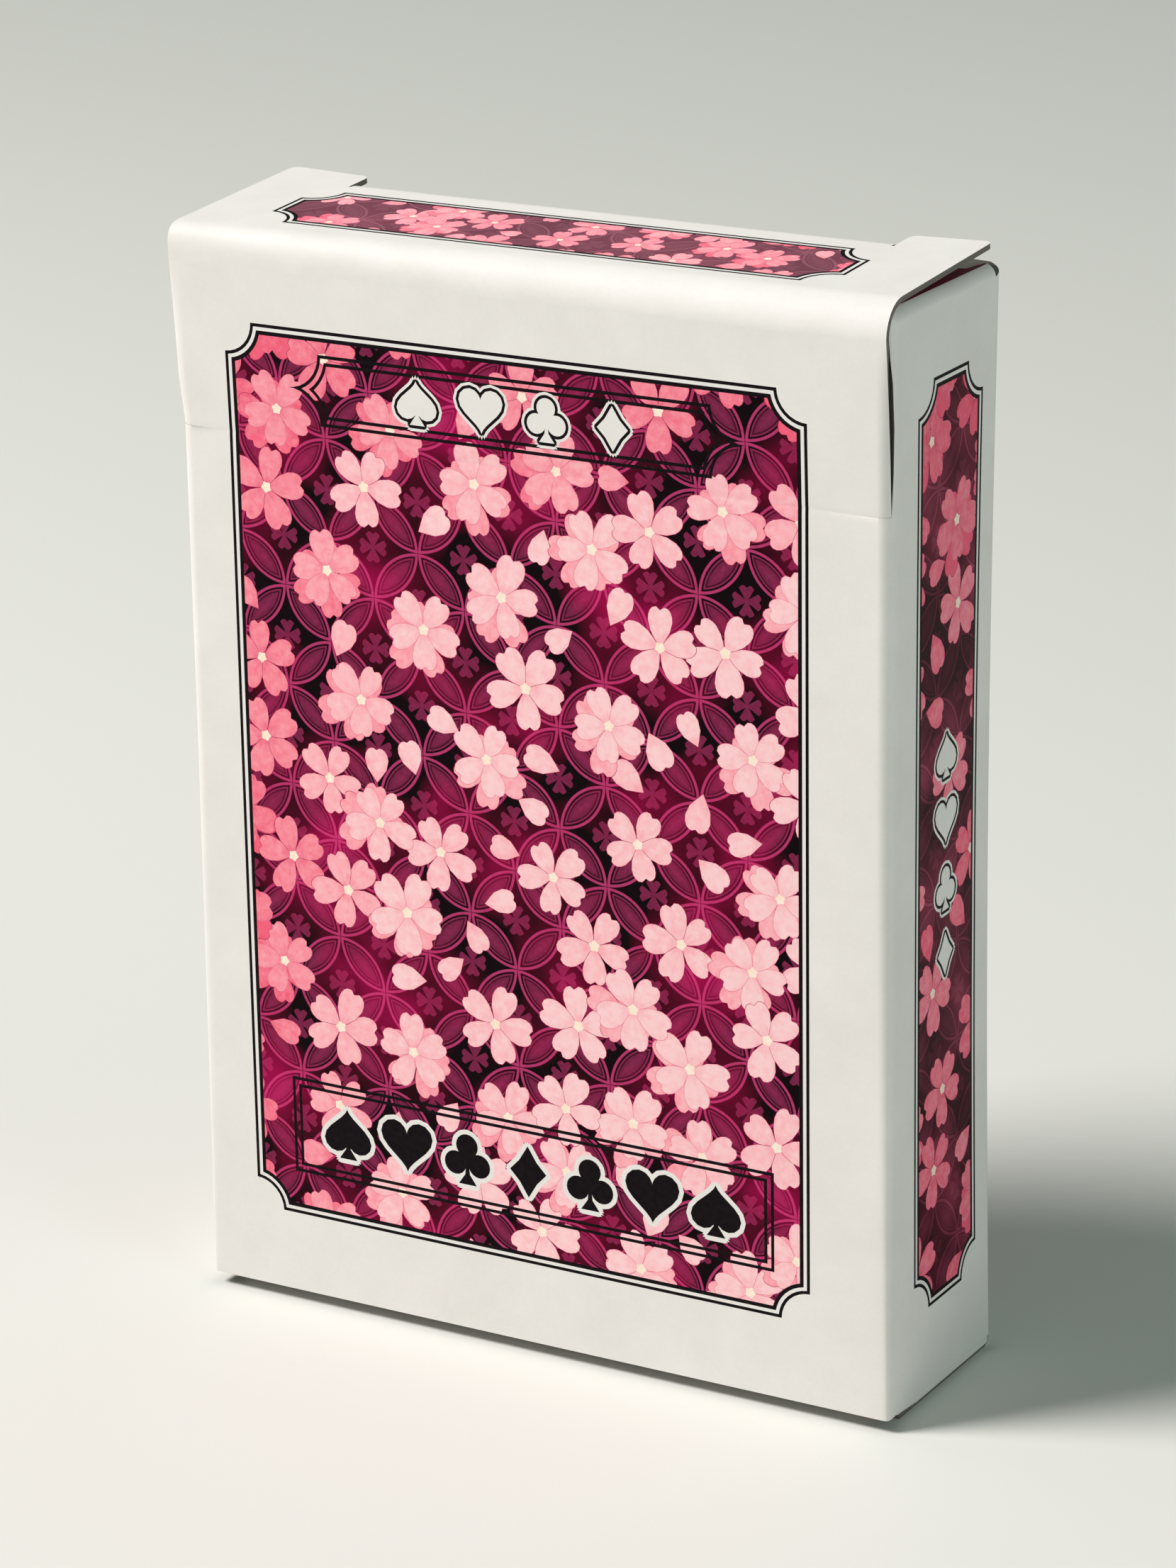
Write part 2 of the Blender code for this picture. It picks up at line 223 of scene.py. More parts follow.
def rounded_outline(corners):
    """A closed outline from corners (x, y) or (x, y, radius), each radius as an arc."""
    points = []
    for index, corner in enumerate(corners):
        here = Vector(corner[:2])
        if len(corner) == 2:
            points.append(here)
            continue
        radius = corner[2]
        before = (Vector(corners[index - 1][:2]) - here).normalized()
        after = (Vector(corners[(index + 1) % len(corners)][:2]) - here).normalized()
        half = before.angle(after) / 2
        centre = here + (before + after).normalized() * radius / math.sin(half)
        start = here + before * radius / math.tan(half) - centre
        end = here + after * radius / math.tan(half) - centre
        sweep = -start.angle_signed(end)
        for step in range(ARC_STEPS + 1):
            points.append(centre + Matrix.Rotation(sweep * step / ARC_STEPS, 2) @ start)
    return points


def box_outline(low, high):
    return [Vector(low), Vector((high[0], low[1])), Vector(high), Vector((low[0], high[1]))]


def ticket_outline(low, high, radius, inset=0.0):
    """A rectangle whose corners are scooped out by arcs around its corner points.

    Where the scoops of one end meet, they are cut off at the point between them.
    """
    if not radius:
        return box_outline((low[0] + inset, low[1] + inset), (high[0] - inset, high[1] - inset))
    reach = radius + inset
    first = math.degrees(math.asin(inset / reach))
    half_height = (high[1] - low[1]) / 2
    last = min(90 - first, math.degrees(math.asin(min(1.0, half_height / reach))))
    shares = [step / ARC_STEPS for step in range(ARC_STEPS + 1)]
    points = []
    for right, up in ((1, 1), (-1, 1), (-1, -1), (1, -1)):
        x = low[0] if right > 0 else high[0]
        y = low[1] if up > 0 else high[1]
        for share in shares if right * up < 0 else reversed(shares):
            scoop = along(first + (last - first) * share)
            points.append(Vector((x + right * reach * scoop.x, y + up * reach * scoop.y)))
    return points


def circle(centre, radius, count=CIRCLE_STEPS):
    return [Vector(centre) + radius * along(360 * step / count) for step in range(count)]


def curve(start, first, second, end, steps):
    """Points along a cubic curve, without its start."""
    ends = [Vector(p) for p in (start, first, second, end)]
    points = []
    for step in range(1, steps + 1):
        t = step / steps
        shares = ((1 - t) ** 3, 3 * t * (1 - t) ** 2, 3 * t * t * (1 - t), t ** 3)
        points.append(sum((share * end for share, end in zip(shares, ends)), Vector((0, 0))))
    return points


def moved(outline, place=(0, 0), turn=0.0, scale=(1.0, 1.0)):
    turning = Matrix.Rotation(math.radians(turn), 2)
    return [turning @ Vector((p[0] * scale[0], p[1] * scale[1])) + Vector(place) for p in outline]


def anticlockwise(outline):
    area = sum(a.cross(b) for a, b in zip(outline, outline[1:] + outline[:1]))
    return outline if area > 0 else outline[::-1]


def boundary(triangles):
    """The edges of a patch of triangles, as loops of point indices."""
    edges = set()
    for triangle in triangles:
        edges.update(zip(triangle, triangle[1:] + triangle[:1]))
    follows = {a: b for a, b in sorted(edges) if (b, a) not in edges}
    loops = []
    while follows:
        start = min(follows)
        loop = [start]
        here = follows.pop(start)
        while here != start:
            loop.append(here)
            here = follows.pop(here)
        loops.append(loop)
    return loops


# Bent boards


class Fold:
    """A board's section, along its outer face. A step is a straight length or a right-hand bend.

    A bend is (radius, degrees).
    """

    def __init__(self, start, heading, *steps):
        self.legs = []
        self.lines = []
        point = Vector(start)
        distance = 0.0
        for step in steps:
            if not isinstance(step, tuple):
                self.legs.append((distance, point, heading, None))
                distance += step
                point = point + step * along(heading)
                continue
            radius, turn = step
            self.legs.append((distance, point, heading, radius))
            arc = radius * math.radians(turn)
            count = max(FEWEST_FACETS, round(turn / DEGREES_PER_FACET))
            self.lines += [distance + arc * index / count for index in range(count + 1)]
            point = point + radius * right_of(heading) - radius * right_of(heading - turn)
            heading -= turn
            distance += arc
        self.length = distance

    def start(self, leg):
        return self.legs[leg][0]

    def at(self, distance):
        """The outer face's point at a distance along the section, and the direction into the board."""
        leg = self.legs[0]
        for candidate in self.legs:
            if candidate[0] <= distance:
                leg = candidate
        begin, point, heading, radius = leg
        run = distance - begin
        if radius is None:
            return point + run * along(heading), right_of(heading)
        inward = right_of(heading - math.degrees(run / radius))
        return point + radius * right_of(heading) - radius * inward, inward


class Sheet:
    """A blank bent to a fold. A blank's point is (distance along the fold, place across it)."""

    def __init__(self, fold, plane, sink=None, warp=None, mirrored=False, lean=None):
        self.fold = fold
        self.plane = plane
        self.sink = sink
        self.warp = warp
        self.mirrored = mirrored
        self.lean = lean

    def point(self, distance, across, depth):
        section, inward = self.fold.at(distance)
        sunk = self.sink(distance, across) if self.sink else 0.0
        if self.lean:
            angle = self.lean(distance, across)
            across -= depth * math.sin(angle)
            depth *= math.cos(angle)
        first, second = section + inward * (depth + sunk)
        if self.plane == "XY":
            point = Vector((first, second, across))
        elif self.plane == "YZ":
            point = Vector((across, first, second))
        else:
            point = Vector((first, across, second))
        if self.mirrored:
            point.x = -point.x
        return self.warp(point) if self.warp else point

    def normal(self, distance, across):
        """The outward normal of the outer face."""
        step = NORMAL_STEP
        down = self.point(distance + step, across, 0) - self.point(distance - step, across, 0)
        over = self.point(distance, across + step, 0) - self.point(distance, across - step, 0)
        inward = self.point(distance, across, BOARD) - self.point(distance, across, 0)
        normal = down.cross(over).normalized()
        return -normal if normal.dot(inward) > 0 else normal


# Printing: marks are inked outlines in a panel's own coordinates, u to the right and v up

Mark = namedtuple("Mark", "ink outline hole clipped petal tone", defaults=(None, True, None, 0.0))
Petal = namedtuple("Petal", "place turn length")


class Artwork:
    """The marks printed on one panel, in painting order, and the field that clips them."""

    def __init__(self, field):
        self.field = field
        self.marks = []

    def add(self, ink, outline, **options):
        mark = Mark(ink, outline, **options)
        if not mark.clipped or self.reaches(outline):
            self.marks.append(mark)

    def reaches(self, outline):
        """Whether an outline's box overlaps the field's box."""
        (left, bottom), (right, top) = extent(outline)
        (low_u, low_v), (high_u, high_v) = extent(self.field)
        return left < high_u and right > low_u and bottom < high_v and top > low_v


class Panel:
    """An artwork and where it lies on a blank."""

    def __init__(self, artwork, origin, along_u, along_v):
        self.artwork = artwork
        self.origin = Vector(origin)
        self.along_u = Vector(along_u)
        self.along_v = Vector(along_v)

    def to_blank(self, point):
        return self.origin + point[0] * self.along_u + point[1] * self.along_v

    def from_blank(self, point):
        offset = point - self.origin
        return Vector((offset.dot(self.along_u), offset.dot(self.along_v)))


class Overlay:
    """A blank cut into triangles by lines across it and by the outlines of its panels' marks."""

    def __init__(self, outline, lines, grid, panels):
        self.outlines = [anticlockwise(outline)]
        self.painted = {}
        for panel in panels:
            field = self.lay(panel, panel.artwork.field)
            for mark in panel.artwork.marks:
                hole = self.lay(panel, mark.hole) if mark.hole else None
                self.painted[self.lay(panel, mark.outline)] = (panel, mark, hole, field)
        self.cut(lines, grid)

    def lay(self, panel, outline):
        self.outlines.append(anticlockwise([panel.to_blank(p) for p in outline]))
        return len(self.outlines) - 1

    def cut(self, lines, grid):
        points = []
        faces = []
        for outline in self.outlines:
            faces.append(list(range(len(points), len(points) + len(outline))))
            points += outline
        low, high = extent(self.outlines[0])
        edges = []
        for distance in lines:
            edges.append((len(points), len(points) + 1))
            points += [Vector((distance, low[1] - 1)), Vector((distance, high[1] + 1))]
        for across in grid:
            edges.append((len(points), len(points) + 1))
            points += [Vector((low[0] - 1, across)), Vector((high[0] + 1, across))]
        found = delaunay_2d_cdt(points, edges, faces, 0, SAME_POINT, True)
        self.points, _, triangles, sources, _, owners = found
        self.point_of = {source: index for index, group in enumerate(sources) for source in group}
        self.triangles = []
        for triangle, inside in zip(triangles, owners):
            if 0 in inside:
                self.triangles.append((tuple(triangle), self.top_mark(set(inside))))

    def top_mark(self, inside):
        for face in sorted(inside, reverse=True):
            if face in self.painted:
                panel, mark, hole, field = self.painted[face]
                if hole not in inside and (field in inside or not mark.clipped):
                    return panel, mark
        return None, None


def new_object(name, data):
    made = bpy.data.objects.new(name, data)
    bpy.context.scene.collection.objects.link(made)
    return made


class MeshParts:
    """Collects a mesh's points and its inked faces with their normals and print coordinates."""

    def __init__(self):
        self.points = []
        self.faces = []
        self.inks = []
        self.tones = []
        self.normals = []
        self.print_uv = []
        self.petal_uv = []

    def add_point(self, point):
        self.points.append(point * MM)
        return len(self.points) - 1

    def add_face(self, ink, corners, tone=0.0):
        """A corner is (point index, normal, print coordinates, petal coordinates)."""
        self.faces.append([corner[0] for corner in corners])
        self.inks.append(ink)
        self.tones.append(tone)
        for _, normal, place, petal in corners:
            self.normals.append(normal)
            self.print_uv += place
            self.petal_uv += petal

    def to_object(self, name):
        mesh = bpy.data.meshes.new(name)
        mesh.from_pydata(self.points, [], self.faces)
        names = sorted(set(self.inks))
        for ink in names:
            mesh.materials.append(INKS[ink])
        mesh.polygons.foreach_set("material_index", [names.index(ink) for ink in self.inks])
        mesh.polygons.foreach_set("use_smooth", [True] * len(self.faces))
        mesh.uv_layers.new(name="print").data.foreach_set("uv", self.print_uv)
        mesh.uv_layers.new(name="petal").data.foreach_set("uv", self.petal_uv)
        mesh.attributes.new("tone", "FLOAT", "FACE").data.foreach_set("value", self.tones)
        mesh.normals_split_custom_set(self.normals)
        return new_object(name, mesh)


def petal_place(mark, place):
    if not mark or not mark.petal:
        return (0.0, 0.0)
    local = Matrix.Rotation(math.radians(-mark.petal.turn), 2) @ (place - Vector(mark.petal.place))
    return tuple(local / mark.petal.length)


def add_side(parts, sheet, overlay, depth, outward, bare_ink):
    """One face of a board, with its printing.

    Returns the mesh's point for each of the overlay's points.
    """
    used = sorted({index for triangle, _ in overlay.triangles for index in triangle})
    mesh_point = {}
    normals = {}
    for index in used:
        place = overlay.points[index]
        mesh_point[index] = parts.add_point(sheet.point(*place, depth))
        normals[index] = sheet.normal(*place) * outward
    for triangle, (panel, mark) in overlay.triangles:
        corners = []
        for index in triangle:
            place = overlay.points[index]
            if panel:
                place = panel.from_blank(place)
            corners.append((mesh_point[index], normals[index], tuple(place), petal_place(mark, place)))
        a, b, c = (parts.points[corner[0]] for corner in corners)
        if (b - a).cross(c - a).dot(corners[0][1]) < 0:
            corners.reverse()
        parts.add_face(mark.ink if mark else bare_ink, corners, mark.tone if mark else 0.0)
    return mesh_point


def board(name, sheet, outline, panels=(), back_panels=(), lines=(), grid=(), thickness=BOARD,
          inks=("board", "inside", "raw_edge")):
    """A printed, bent board as one closed mesh. Its inks are for the outside, the inside and the edge."""
    parts = MeshParts()
    lines = [*sheet.fold.lines, *lines]
    outer = Overlay(outline, lines, grid, panels)
    rim = boundary([triangle for triangle, _ in outer.triangles])[0]
    inner = Overlay([outer.points[index] for index in rim], lines, grid, back_panels)
    outer_point = add_side(parts, sheet, outer, 0.0, 1, inks[0])
    inner_point = add_side(parts, sheet, inner, thickness, -1, inks[1])
    for place, index in enumerate(rim):
        after = (place + 1) % len(rim)
        near, far = outer_point[index], outer_point[rim[after]]
        near_in, far_in = inner_point[inner.point_of[place]], inner_point[inner.point_of[after]]
        ring = [far, near, near_in, far_in]
        a, b, c, _ = (parts.points[point] for point in ring)
        normal = (b - a).cross(c - a).normalized()
        edge = outer.points[index] - outer.points[rim[after]]
        middle = (outer.points[index] + outer.points[rim[after]]) / 2
        outside = middle + Vector((-edge.y, edge.x)).normalized() * NORMAL_STEP
        if (sheet.point(*outside, 0) - sheet.point(*middle, 0)).dot(normal) < 0:
            ring.reverse()
            normal = -normal
        uv = tuple(outer.points[index])
        parts.add_face(inks[2], [(point, normal, uv, (0.0, 0.0)) for point in ring])
    return parts.to_object(name)


# Ornaments

FLANK_STEPS = 3
TIP_STEPS = 4
PETAL_HALF = [Vector((0.05, 0.03))]
PETAL_HALF += curve(PETAL_HALF[-1], (0.2, 0.13), (0.38, 0.305), (0.64, 0.325), FLANK_STEPS)
PETAL_HALF += curve(PETAL_HALF[-1], (0.83, 0.335), (0.985, 0.265), (0.985, 0.11), TIP_STEPS)
PETAL_MIDDLE = Vector((0.56, 0.0))
LOOSE_HALF = [Vector((0.0, 0.0))]
LOOSE_HALF += curve(LOOSE_HALF[-1], (0.16, 0.09), (0.34, 0.36), (0.66, 0.35), FLANK_STEPS)
LOOSE_HALF += curve(LOOSE_HALF[-1], (0.90, 0.34), (1.0, 0.20), (0.98, 0.09), TIP_STEPS)


def both_halves(half, notch):
    """A petal's outline from its upper half and the notch at its tip."""
    lower = [Vector((p.x, -p.y)) for p in reversed(half) if p.y]
    return [*half, Vector(notch), *lower]


PETAL = both_halves(PETAL_HALF, (0.905, 0.01))
LOOSE_PETAL = both_halves(LOOSE_HALF, (0.93, 0.0))

# Lengths and sizes are shares of a blossom's radius, widths are shares of a petal's length
PETALS = 5
PETAL_EDGE = 1.035
PETAL_SWAY = 5.0
PETAL_LENGTHS = (0.9, 1.05)
PETAL_WIDTHS = (0.95, 1.1)
POLLEN_RADIUS = 0.15
POLLEN_WAIST = 0.72
BLOSSOM_SIZES = (0.94, 1.04)
BLOSSOM_TONES = (-0.08, 0.12)
DOUBLE_SHARE = 0.5
DOUBLE_OFFSET = 0.26
DOUBLE_SIDE = (180, 300)
DOUBLE_SIZE = 0.98
DOUBLE_TONE = 0.3
LOOSE_LENGTHS = (0.8, 1.0)
LOOSE_TONES = (-0.08, 0.15)
SPACING = 1.6
LOOSE_SPACING = 1.25
TRIES = 60


def add_petal(artwork, shape, place, turn, length, width, tone, edge_ink):
    """A petal with a thin edge round it."""
    scale = (length, length * width)
    grown = [PETAL_MIDDLE + (p - PETAL_MIDDLE) * PETAL_EDGE for p in shape]
    artwork.add(edge_ink, moved(grown, place, turn, scale))
    artwork.add("petal", moved(shape, place, turn, scale), petal=Petal(place, turn, length), tone=tone)


def add_corolla(artwork, rng, place, radius, tone, edge_ink):
    turn = rng.uniform(0, 360)
    for index in range(PETALS):
        angle = turn + 360 * index / PETALS + rng.uniform(-PETAL_SWAY, PETAL_SWAY)
        length = radius * rng.uniform(*PETAL_LENGTHS)
        width = rng.uniform(*PETAL_WIDTHS)
        add_petal(artwork, PETAL, place, angle, length, width, tone, edge_ink)
    return turn


def add_pollen(artwork, place, radius, turn):
    """A small star in the middle of a blossom."""
    star = []
    for step in range(2 * PETALS):
        reach = radius * POLLEN_RADIUS * (1.0 if step % 2 else POLLEN_WAIST)
        star.append(place + reach * along(turn + 180 * step / PETALS))
    artwork.add("pollen", star)


def add_blossom(artwork, rng, place, radius, tone):
    """A five-petalled blossom, often with a second, deeper one half hidden under it."""
    edge_ink = "petal_edge"
    if rng.random() < DOUBLE_SHARE:
        under = place + radius * DOUBLE_OFFSET * along(rng.uniform(*DOUBLE_SIDE))
        add_corolla(artwork, rng, under, radius * DOUBLE_SIZE, min(1.0, tone + DOUBLE_TONE), edge_ink)
        edge_ink = "petal_fold"
    size = radius * rng.uniform(*BLOSSOM_SIZES)
    turn = add_corolla(artwork, rng, place, size, tone, edge_ink)
    add_pollen(artwork, place, size, turn)


def scatter(rng, low, high, spacing, count, taken=(), room=0.0):
    """Random places at least a spacing from each other, and as far as the room from those taken."""
    places = []
    for _ in range(count * TRIES):
        place = Vector((rng.uniform(low[0], high[0]), rng.uniform(low[1], high[1])))
        clear = all((place - other).length > spacing for other in places)
        if clear and all((place - other).length > room for other in taken):
            places.append(place)
        if len(places) == count:
            break
    return places


def add_blossoms(artwork, shape, strewn, seed, tone_at):
    """Blossoms and loose petals strewn over a frame, also across its edges."""
    rng = random.Random(seed)
    radius = strewn.radius
    over = Vector((radius, radius)) / 2
    low = Vector(shape.low) - over
    high = Vector(shape.high) + over
    flowers = scatter(rng, low, high, SPACING * radius, strewn.blossoms)
    petals = scatter(rng, low, high, radius, strewn.loose, flowers, LOOSE_SPACING * radius)
    for place in petals:
        tone = clamp(tone_at(place) + rng.uniform(*LOOSE_TONES))
        length = radius * rng.uniform(*LOOSE_LENGTHS)
        turn = rng.uniform(0, 360)
        width = rng.uniform(*PETAL_WIDTHS)
        start = place - along(turn) * length / 2
        add_petal(artwork, LOOSE_PETAL, start, turn, length, width, tone, "petal_edge")
    for place in flowers:
        tone = clamp(tone_at(place) + rng.uniform(*BLOSSOM_TONES))
        add_blossom(artwork, rng, place, radius, tone)


HEART_STEPS = 28
HEART_SCALE = 1 / 29.0
HEART_RAISE = 2.5


def heart_outline():
    """The usual heart curve of sines and cosines, one unit high."""
    points = []
    for step in range(HEART_STEPS):
        t = math.tau * step / HEART_STEPS
        x = 16 * math.sin(t) ** 3
        y = 13 * math.cos(t) - 5 * math.cos(2 * t) - 2 * math.cos(3 * t) - math.cos(4 * t)
        points.append(Vector((x, y + HEART_RAISE)) * HEART_SCALE)
    return points


STEM = [Vector(p) for p in (
    (0.02, 0.0), (0.05, -0.3), (0.19, -0.5), (-0.19, -0.5), (-0.05, -0.3), (-0.02, 0.0)
)]
DIAMOND = [Vector(p) for p in (
    (0.0, 0.5), (0.18, 0.21), (0.38, 0.0), (0.18, -0.21),
    (0.0, -0.5), (-0.18, -0.21), (-0.38, 0.0), (-0.18, 0.21)
)]
CLUB_LOBES = ((0, 0.26), (-0.25, -0.1), (0.25, -0.1))
CLUB_LOBE_RADIUS = 0.23
CLUB_MIDDLE = circle((0, 0.03), 0.13)
SIGNS = {
    "hearts": [heart_outline()],
    "spades": [moved(heart_outline(), (0, 0.06), 180, (0.92, 0.88)), STEM],
    "clubs": [*(circle(place, CLUB_LOBE_RADIUS) for place in CLUB_LOBES), CLUB_MIDDLE, STEM],
    "diamonds": [DIAMOND],
}
STAMPS = 12


@lru_cache
def sign_outline(suit, grown):
    """The outline round a suit sign's shapes, one unit high, standing out round them by a distance."""
    offsets = circle((0, 0), grown, STAMPS) if grown else [Vector((0, 0))]
    points = []
    faces = []
    for shape in SIGNS[suit]:
        for offset in offsets:
            faces.append(list(range(len(points), len(points) + len(shape))))
            points += anticlockwise([point + offset for point in shape])
    places, _, triangles, _, _, owners = delaunay_2d_cdt(points, [], faces, 0, SAME_POINT, True)
    loops = boundary([tuple(triangle) for triangle, inside in zip(triangles, owners) if inside])
    return [places[index] for index in max(loops, key=len)]


def add_sign(artwork, suit, place, height, layers, turn=0):
    """A suit sign. A layer is (ink, how far it stands out round the sign), the lowest first."""
    for ink, grown in layers:
        outline = sign_outline(suit, grown / height)
        artwork.add(ink, moved(outline, place, turn, (height, height)), clipped=False)


# Printed panels

FRAME_STEPS = (("ink_black", 0.0), ("board", 0.28), ("ink_black", 0.58))
FIELD_INSET = 0.92
LABEL_LINES = ((0.0, 0.28), (0.62, 0.9))
Frame = namedtuple("Frame", "low high radius")
FRONT_FRAME = Frame((-27.77, 8.28), (25.6, 86.3), 2.6)
SIDE_FRAME = Frame((-5.15, 8.33), (6.47, 86.4), 2.67)
TOP_FRAME = Frame((-26.75, 5.65), (25.8, 15.45), 2.6)
NAME_LABEL = Frame((-21.83, 78.3), (20.2, 84.3), 3.0)
TITLE_LABEL = Frame((-23.8, 12.2), (22.35, 20.9), 0.0)
WHITE_SIGN = (("board", 0.5), ("ink_black", 0.26), ("board", 0.0))
BLACK_SIGN = (("board", 0.42), ("ink_black", 0.0))
SUITS = ("spades", "hearts", "clubs", "diamonds")
RANKS = (
    "ace", "two", "three", "four", "five", "six", "seven", "eight", "nine", "ten", "jack", "queen", "king"
)
SignRow = namedtuple("SignRow", "suits start step height layers")
NAME_SIGNS = SignRow(SUITS, (-9.6, 81.3), (6.0, 0), 3.7, WHITE_SIGN)
TITLE_SIGNS = SignRow(SUITS + SUITS[2::-1], (-18.4, 16.55), (5.9, 0), 4.6, BLACK_SIGN)
SIDE_SIGNS = SignRow(SUITS, (0.66, 55.0), (0, -5.6), 3.7, WHITE_SIGN)
Strewn = namedtuple("Strewn", "blossoms loose radius")
FRONT_STREWN = Strewn(72, 40, 3.5)
SIDE_STREWN = Strewn(20, 12, 3.6)
TOP_STREWN = Strewn(24, 9, 2.5)

# Tones of the blossoms, from pale to deep, and how far the deeper ones reach in from a frame's edge
FRONT_EDGE_TONE = 0.75
SIDE_TONE = 0.68
SIDE_TOP_TONE = 0.25
TOP_TONE = 0.36
TONE_REACH = 15.0


def framed_artwork(shape, field_ink):
    """A frame of thin lines round a field of interlocking circles."""
    field = ticket_outline(*shape, FIELD_INSET)
    artwork = Artwork(field)
    for ink, inset in FRAME_STEPS:
        artwork.add(ink, ticket_outline(*shape, inset), clipped=False)
    artwork.add(field_ink, field, clipped=False)
    return artwork


def add_label(artwork, shape):
    for outside, inside in LABEL_LINES:
        artwork.add("ink_black", ticket_outline(*shape, outside), hole=ticket_outline(*shape, inside))


def add_signs(artwork, row):
    for index, suit in enumerate(row.suits):
        place = Vector(row.start) + index * Vector(row.step)
        add_sign(artwork, suit, place, row.height, row.layers)


def front_artwork(seed):
    artwork = framed_artwork(FRONT_FRAME, "lattice")

    def tone_at(place):
        from_left = place.x - FRONT_FRAME.low[0]
        from_top = FRONT_FRAME.high[1] - place.y
        return FRONT_EDGE_TONE * clamp(1 - min(from_left, from_top) / TONE_REACH)

    add_blossoms(artwork, FRONT_FRAME, FRONT_STREWN, seed, tone_at)
    add_label(artwork, NAME_LABEL)
    add_label(artwork, TITLE_LABEL)
    add_signs(artwork, NAME_SIGNS)
    add_signs(artwork, TITLE_SIGNS)
    return artwork


def side_artwork(seed):
    artwork = framed_artwork(SIDE_FRAME, "dark_lattice")

    def tone_at(place):
        from_top = SIDE_FRAME.high[1] - place.y
        return SIDE_TONE + SIDE_TOP_TONE * clamp(1 - from_top / TONE_REACH)

    add_blossoms(artwork, SIDE_FRAME, SIDE_STREWN, seed, tone_at)
    add_signs(artwork, SIDE_SIGNS)
    return artwork


def top_artwork(seed):
    artwork = framed_artwork(TOP_FRAME, "dusky_lattice")
    add_blossoms(artwork, TOP_FRAME, TOP_STREWN, seed, lambda place: TOP_TONE)
    return artwork


# Materials


def srgb(red, green, blue):
    def linear(value):
        value = value / 255
        return value / 12.92 if value <= 0.04045 else ((value + 0.055) / 1.055) ** 2.4
    return (linear(red), linear(green), linear(blue), 1.0)


class Shading:
    """Builds one material's nodes. A number, a colour or another node's output can be an input."""

    def __init__(self, name, roughness):
        self.material = bpy.data.materials.new(name)
        self.material.use_nodes = True
        self.tree = self.material.node_tree
        self.shader = self.tree.nodes["Principled BSDF"]
        self.shader.inputs["Roughness"].default_value = roughness

    def node(self, kind, settings=(), *values, **inputs):
        made = self.tree.nodes.new(kind)
        for key, value in dict(settings).items():
            setattr(made, key, value)
        for socket, value in zip(made.inputs, values):
            self.join(socket, value)
        for key, value in inputs.items():
            self.join(made.inputs[key], value)
        return made

    def join(self, socket, value):
        if isinstance(value, bpy.types.NodeSocket):
            self.tree.links.new(value, socket)
        else:
            socket.default_value = value

    def set(self, name, value):
        self.join(self.shader.inputs[name], value)

    def math(self, operation, *values):
        return self.node("ShaderNodeMath", {"operation": operation}, *values).outputs[0]

    def mix(self, factor, first, second):
        made = self.node("ShaderNodeMix", {"data_type": "RGBA"})
        for index, value in ((0, factor), (6, first), (7, second)):
            self.join(made.inputs[index], value)
        return made.outputs[2]

    def ramp(self, factor, *stops):
        made = self.node("ShaderNodeValToRGB", Fac=factor)
        elements = made.color_ramp.elements
        while len(elements) < len(stops):
            elements.new(1.0)
        for element, (position, colour) in zip(elements, stops):
            element.position = position
            element.color = colour if isinstance(colour, tuple) else (colour, colour, colour, 1.0)
        return made.outputs[0]

    def place(self, name):
        """A UV map's vector and its two coordinates."""
        source = self.node("ShaderNodeUVMap", {"uv_map": name})
        apart = self.node("ShaderNodeSeparateXYZ", Vector=source.outputs[0])
        return source.outputs[0], apart.outputs[0], apart.outputs[1]

    def noise(self, vector, scale, detail, roughness):
        texture = "ShaderNodeTexNoise"
        made = self.node(texture, Vector=vector, Scale=scale, Detail=detail, Roughness=roughness)
        return made.outputs[0]

    def bump(self, height, strength, distance):
        made = self.node("ShaderNodeBump", Height=height, Strength=strength, Distance=distance * MM)
        self.set("Normal", made.outputs[0])


# Noises: scale, detail and roughness
CLOUDS = (0.16, 4.0, 0.6)
FIBRES = (2.6, 3.0, 0.65)
INK_GRAIN = (1.8, 3.0, 0.6)
LATTICE_GRAIN = (2.2, 4.0, 0.7)
PATCHES = (0.085, 2.0, 0.55)
BRUSH = (1.3, 4.0, 0.65)

FIBRE_SHARE = 0.4
FIBRE_BUMP = 0.25
MOTTLE_STOPS = (0.45, 0.95)
BOARD_GLOSS = 0.12


def paper(name, colour, mottle, roughness, fibre):
    """Board: a slightly uneven colour with a fine relief of fibres."""
    shading = Shading(name, roughness)
    vector, _, _ = shading.place("print")
    clouds = shading.noise(vector, *CLOUDS)
    fibres = shading.noise(vector, *FIBRES)
    uneven = shading.math("MULTIPLY_ADD", fibres, FIBRE_SHARE, clouds)
    shading.set("Base Color", shading.ramp(uneven, *zip(MOTTLE_STOPS, (mottle, colour))))
    shading.bump(fibres, FIBRE_BUMP, fibre)
    shading.set("Specular IOR Level", BOARD_GLOSS)
    return shading.material


PRINT_ROUGHNESS = 0.5
PRINT_GLOSS = 0.06
INK_STOPS = (0.35, 0.8)


def flat_ink(name, colour, other):
    """A printed ink that varies a little between two colours."""
    shading = Shading(name, PRINT_ROUGHNESS)
    vector, _, _ = shading.place("print")
    grain = shading.noise(vector, *INK_GRAIN)
    shading.set("Base Color", shading.ramp(grain, *zip(INK_STOPS, (colour, other))))
    shading.set("Specular IOR Level", PRINT_GLOSS)
    return shading.material


def plain_ink(name, colour):
    shading = Shading(name, PRINT_ROUGHNESS)
    shading.set("Base Color", colour)
    return shading.material


LENS_LENGTH = 6.07
LENS_ANCHOR = (7.3, 43.0)
CIRCLE_RADIUS = math.sqrt(0.5)
LENS_SPAN = 0.5
PATCH_STOPS = (0.44, 0.56, 0.69)
LEAST_INK = 0.5

